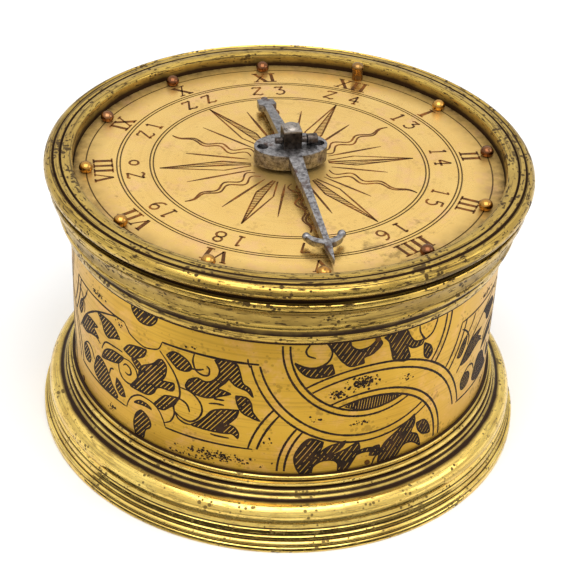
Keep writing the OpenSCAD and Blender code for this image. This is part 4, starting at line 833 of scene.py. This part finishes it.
def old_steel(name, bright, deep, rust, rough, rubbed_from=None, pitted=0.7):
    """Mottled, pitted steel, rusty in patches, and rubbed bright above the height rubbed_from."""
    material = bpy.data.materials.new(name)
    tree = tree_of(material)
    place = put(tree, "ShaderNodeTexCoord").outputs["Object"]
    cloud = noise(tree, place, 1500.0, 6.0, 0.75)
    spots = put(tree, "ShaderNodeTexVoronoi", _0=place, Scale=2600.0, Randomness=1.0).outputs["Distance"]
    fine = noise(tree, place, 2400.0, 4.0)
    tone = mixed(tree, ramp(tree, cloud, 0.4, 0.62), paint(*bright), paint(*deep))
    rusty = ramp(tree, noise(tree, place, 330.0, 5.0, 0.65), 0.56, 0.66)
    tone = mixed(tree, rusty, tone, paint(*rust))
    if rubbed_from:
        level = put(tree, "ShaderNodeSeparateXYZ", _0=place).outputs[2]
        rubbed = ramp(tree, level, rubbed_from, rubbed_from + 0.0003)
        rubbed = sums(tree, "MULTIPLY", rubbed, ramp(tree, cloud, 0.35, 0.5))
        tone = mixed(tree, rubbed, tone, paint(150, 142, 134))
        rusty = sums(tree, "MULTIPLY", rusty, sums(tree, "SUBTRACT", 1.0, rubbed))
    grain = sums(tree, "MULTIPLY_ADD", cloud, 0.8, sums(tree, "MULTIPLY", fine, 0.5))
    height = sums(tree, "MULTIPLY_ADD", ramp(tree, spots, 0.2, 0.08), -0.7, grain)
    bump = put(tree, "ShaderNodeBump", Strength=pitted, Distance=0.00006, Height=height).outputs[0]
    gloss = sums(tree, "MULTIPLY_ADD", fine, 0.25, sums(tree, "MULTIPLY_ADD", rusty, 0.25, rough))
    bare_metal = sums(tree, "MULTIPLY_ADD", rusty, -0.7, 1.0)
    skin = put(tree, "ShaderNodeBsdfPrincipled", Base_Color=tone, Normal=bump, Roughness=gloss,
               Metallic=bare_metal)
    put(tree, "ShaderNodeOutputMaterial", Surface=skin.outputs[0])
    return material


hand_steel = old_steel("hand_steel", (160, 157, 156), (80, 76, 77), (66, 42, 28), rough=0.24)
pin_steel = old_steel("pin_steel", (92, 84, 78), (44, 38, 34), (62, 42, 28), rough=0.26)
post_steel = old_steel("post_steel", (60, 54, 50), (24, 20, 18), (46, 30, 20), rough=0.3,
                       rubbed_from=47.05 * mm)


def solid_of(node):
    """The solid of a node with its triangles joined into flat faces."""
    bm = bmesh.new()
    bm.from_mesh(frame["nodes"][node].data)
    bmesh.ops.remove_doubles(bm, verts=bm.verts, dist=1e-6)
    bmesh.ops.dissolve_limit(bm, angle_limit=radians(1.5), verts=bm.verts, edges=bm.edges)
    return bm


for name, node, finish in (("forged_hand", "hour_hand", hand_steel),
                           ("forged_arbor", "hand_arbor", post_steel),
                           ("forged_pin", "hand_pin", pin_steel)):
    bm = solid_of(node)
    sharp = [e for e in bm.edges if len(e.link_faces) == 2 and e.calc_face_angle(0) > radians(38)]
    bmesh.ops.bevel(bm, geom=sharp, offset=0.12 * mm, affect="EDGES", segments=3, profile=0.5, material=-1,
                    clamp_overlap=True)
    piece = add_piece(name, bm, finish)
    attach(piece, "hand")
    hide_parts(node)

# Each click is pressed into its ratchet by a blade spring, filed thin from one piece with its block.
# The blade bends when the click lifts; here it is cut into short lengths from its foot to its tip.
movement_steel = old_steel("movement_steel", (150, 150, 154), (106, 106, 111), (96, 72, 54), rough=0.2,
                           pitted=0.15)
blade_parts = 12
for name, node, carrier, click, foot, tip in (
        ("set_up_blade", "barrel_click_spring", "root", "barrel_click", (8.89, 16.61), (11.22, 15.62)),
        ("winding_blade", "great_click_spring", "great", "great_click", (-9.86, 4.77), (-12.2, 5.72))):
    start = Vector((*foot, 0)) * mm
    end = Vector((*tip, 0)) * mm
    bm = solid_of(node)
    for i in range(1, blade_parts):
        slice_all(bm, start.lerp(end, i / blade_parts), end - start, near=1e-7)
    bmesh.ops.triangulate(bm, faces=bm.faces)
    piece = add_piece(name, bm, movement_steel)
    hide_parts(node)
    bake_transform(piece)

# The rest is the clock's inside and its small fixings: cast and turned brass plates, wheels and
# pillars, filed steel, brass pins, a gut line and two hog's bristles. They keep their nodes' shapes.
case_gilt = gilt("case_gilt", (240, 196, 100), (214, 160, 62), rough=0.3, turned=0.1, pits=0.2)
movement_brass = gilt("movement_brass", (236, 192, 104), (214, 164, 72), rough=0.3, worn=(196, 150, 84),
                      turned=0.15, pits=0.15)
gut = plain_finish("gut", paint(206, 164, 96), rough=0.5, scale=1400.0, uneven=0.35)
bristle = plain_finish("bristle", paint(60, 44, 34), rough=0.45, scale=2500.0, uneven=0.4)
case_brass = gilt("case_brass", (120, 84, 44), (70, 44, 24), rough=0.35, turned=0.0, pits=0.3)
finishes = {"gilt_case": case_gilt, "gilt_dial": dial_gilt, "pin_brass": pin_gold, "case_brass": case_brass,
            "dark_steel": hand_steel, "movement_brass": movement_brass, "movement_steel": movement_steel,
            "gut": gut, "bristle": bristle}
for row in frame["record"]["subparts"]:
    node = frame["nodes"][row["node"]]
    for slot in node.material_slots:
        slot.material = finishes[row["material_slot"]]
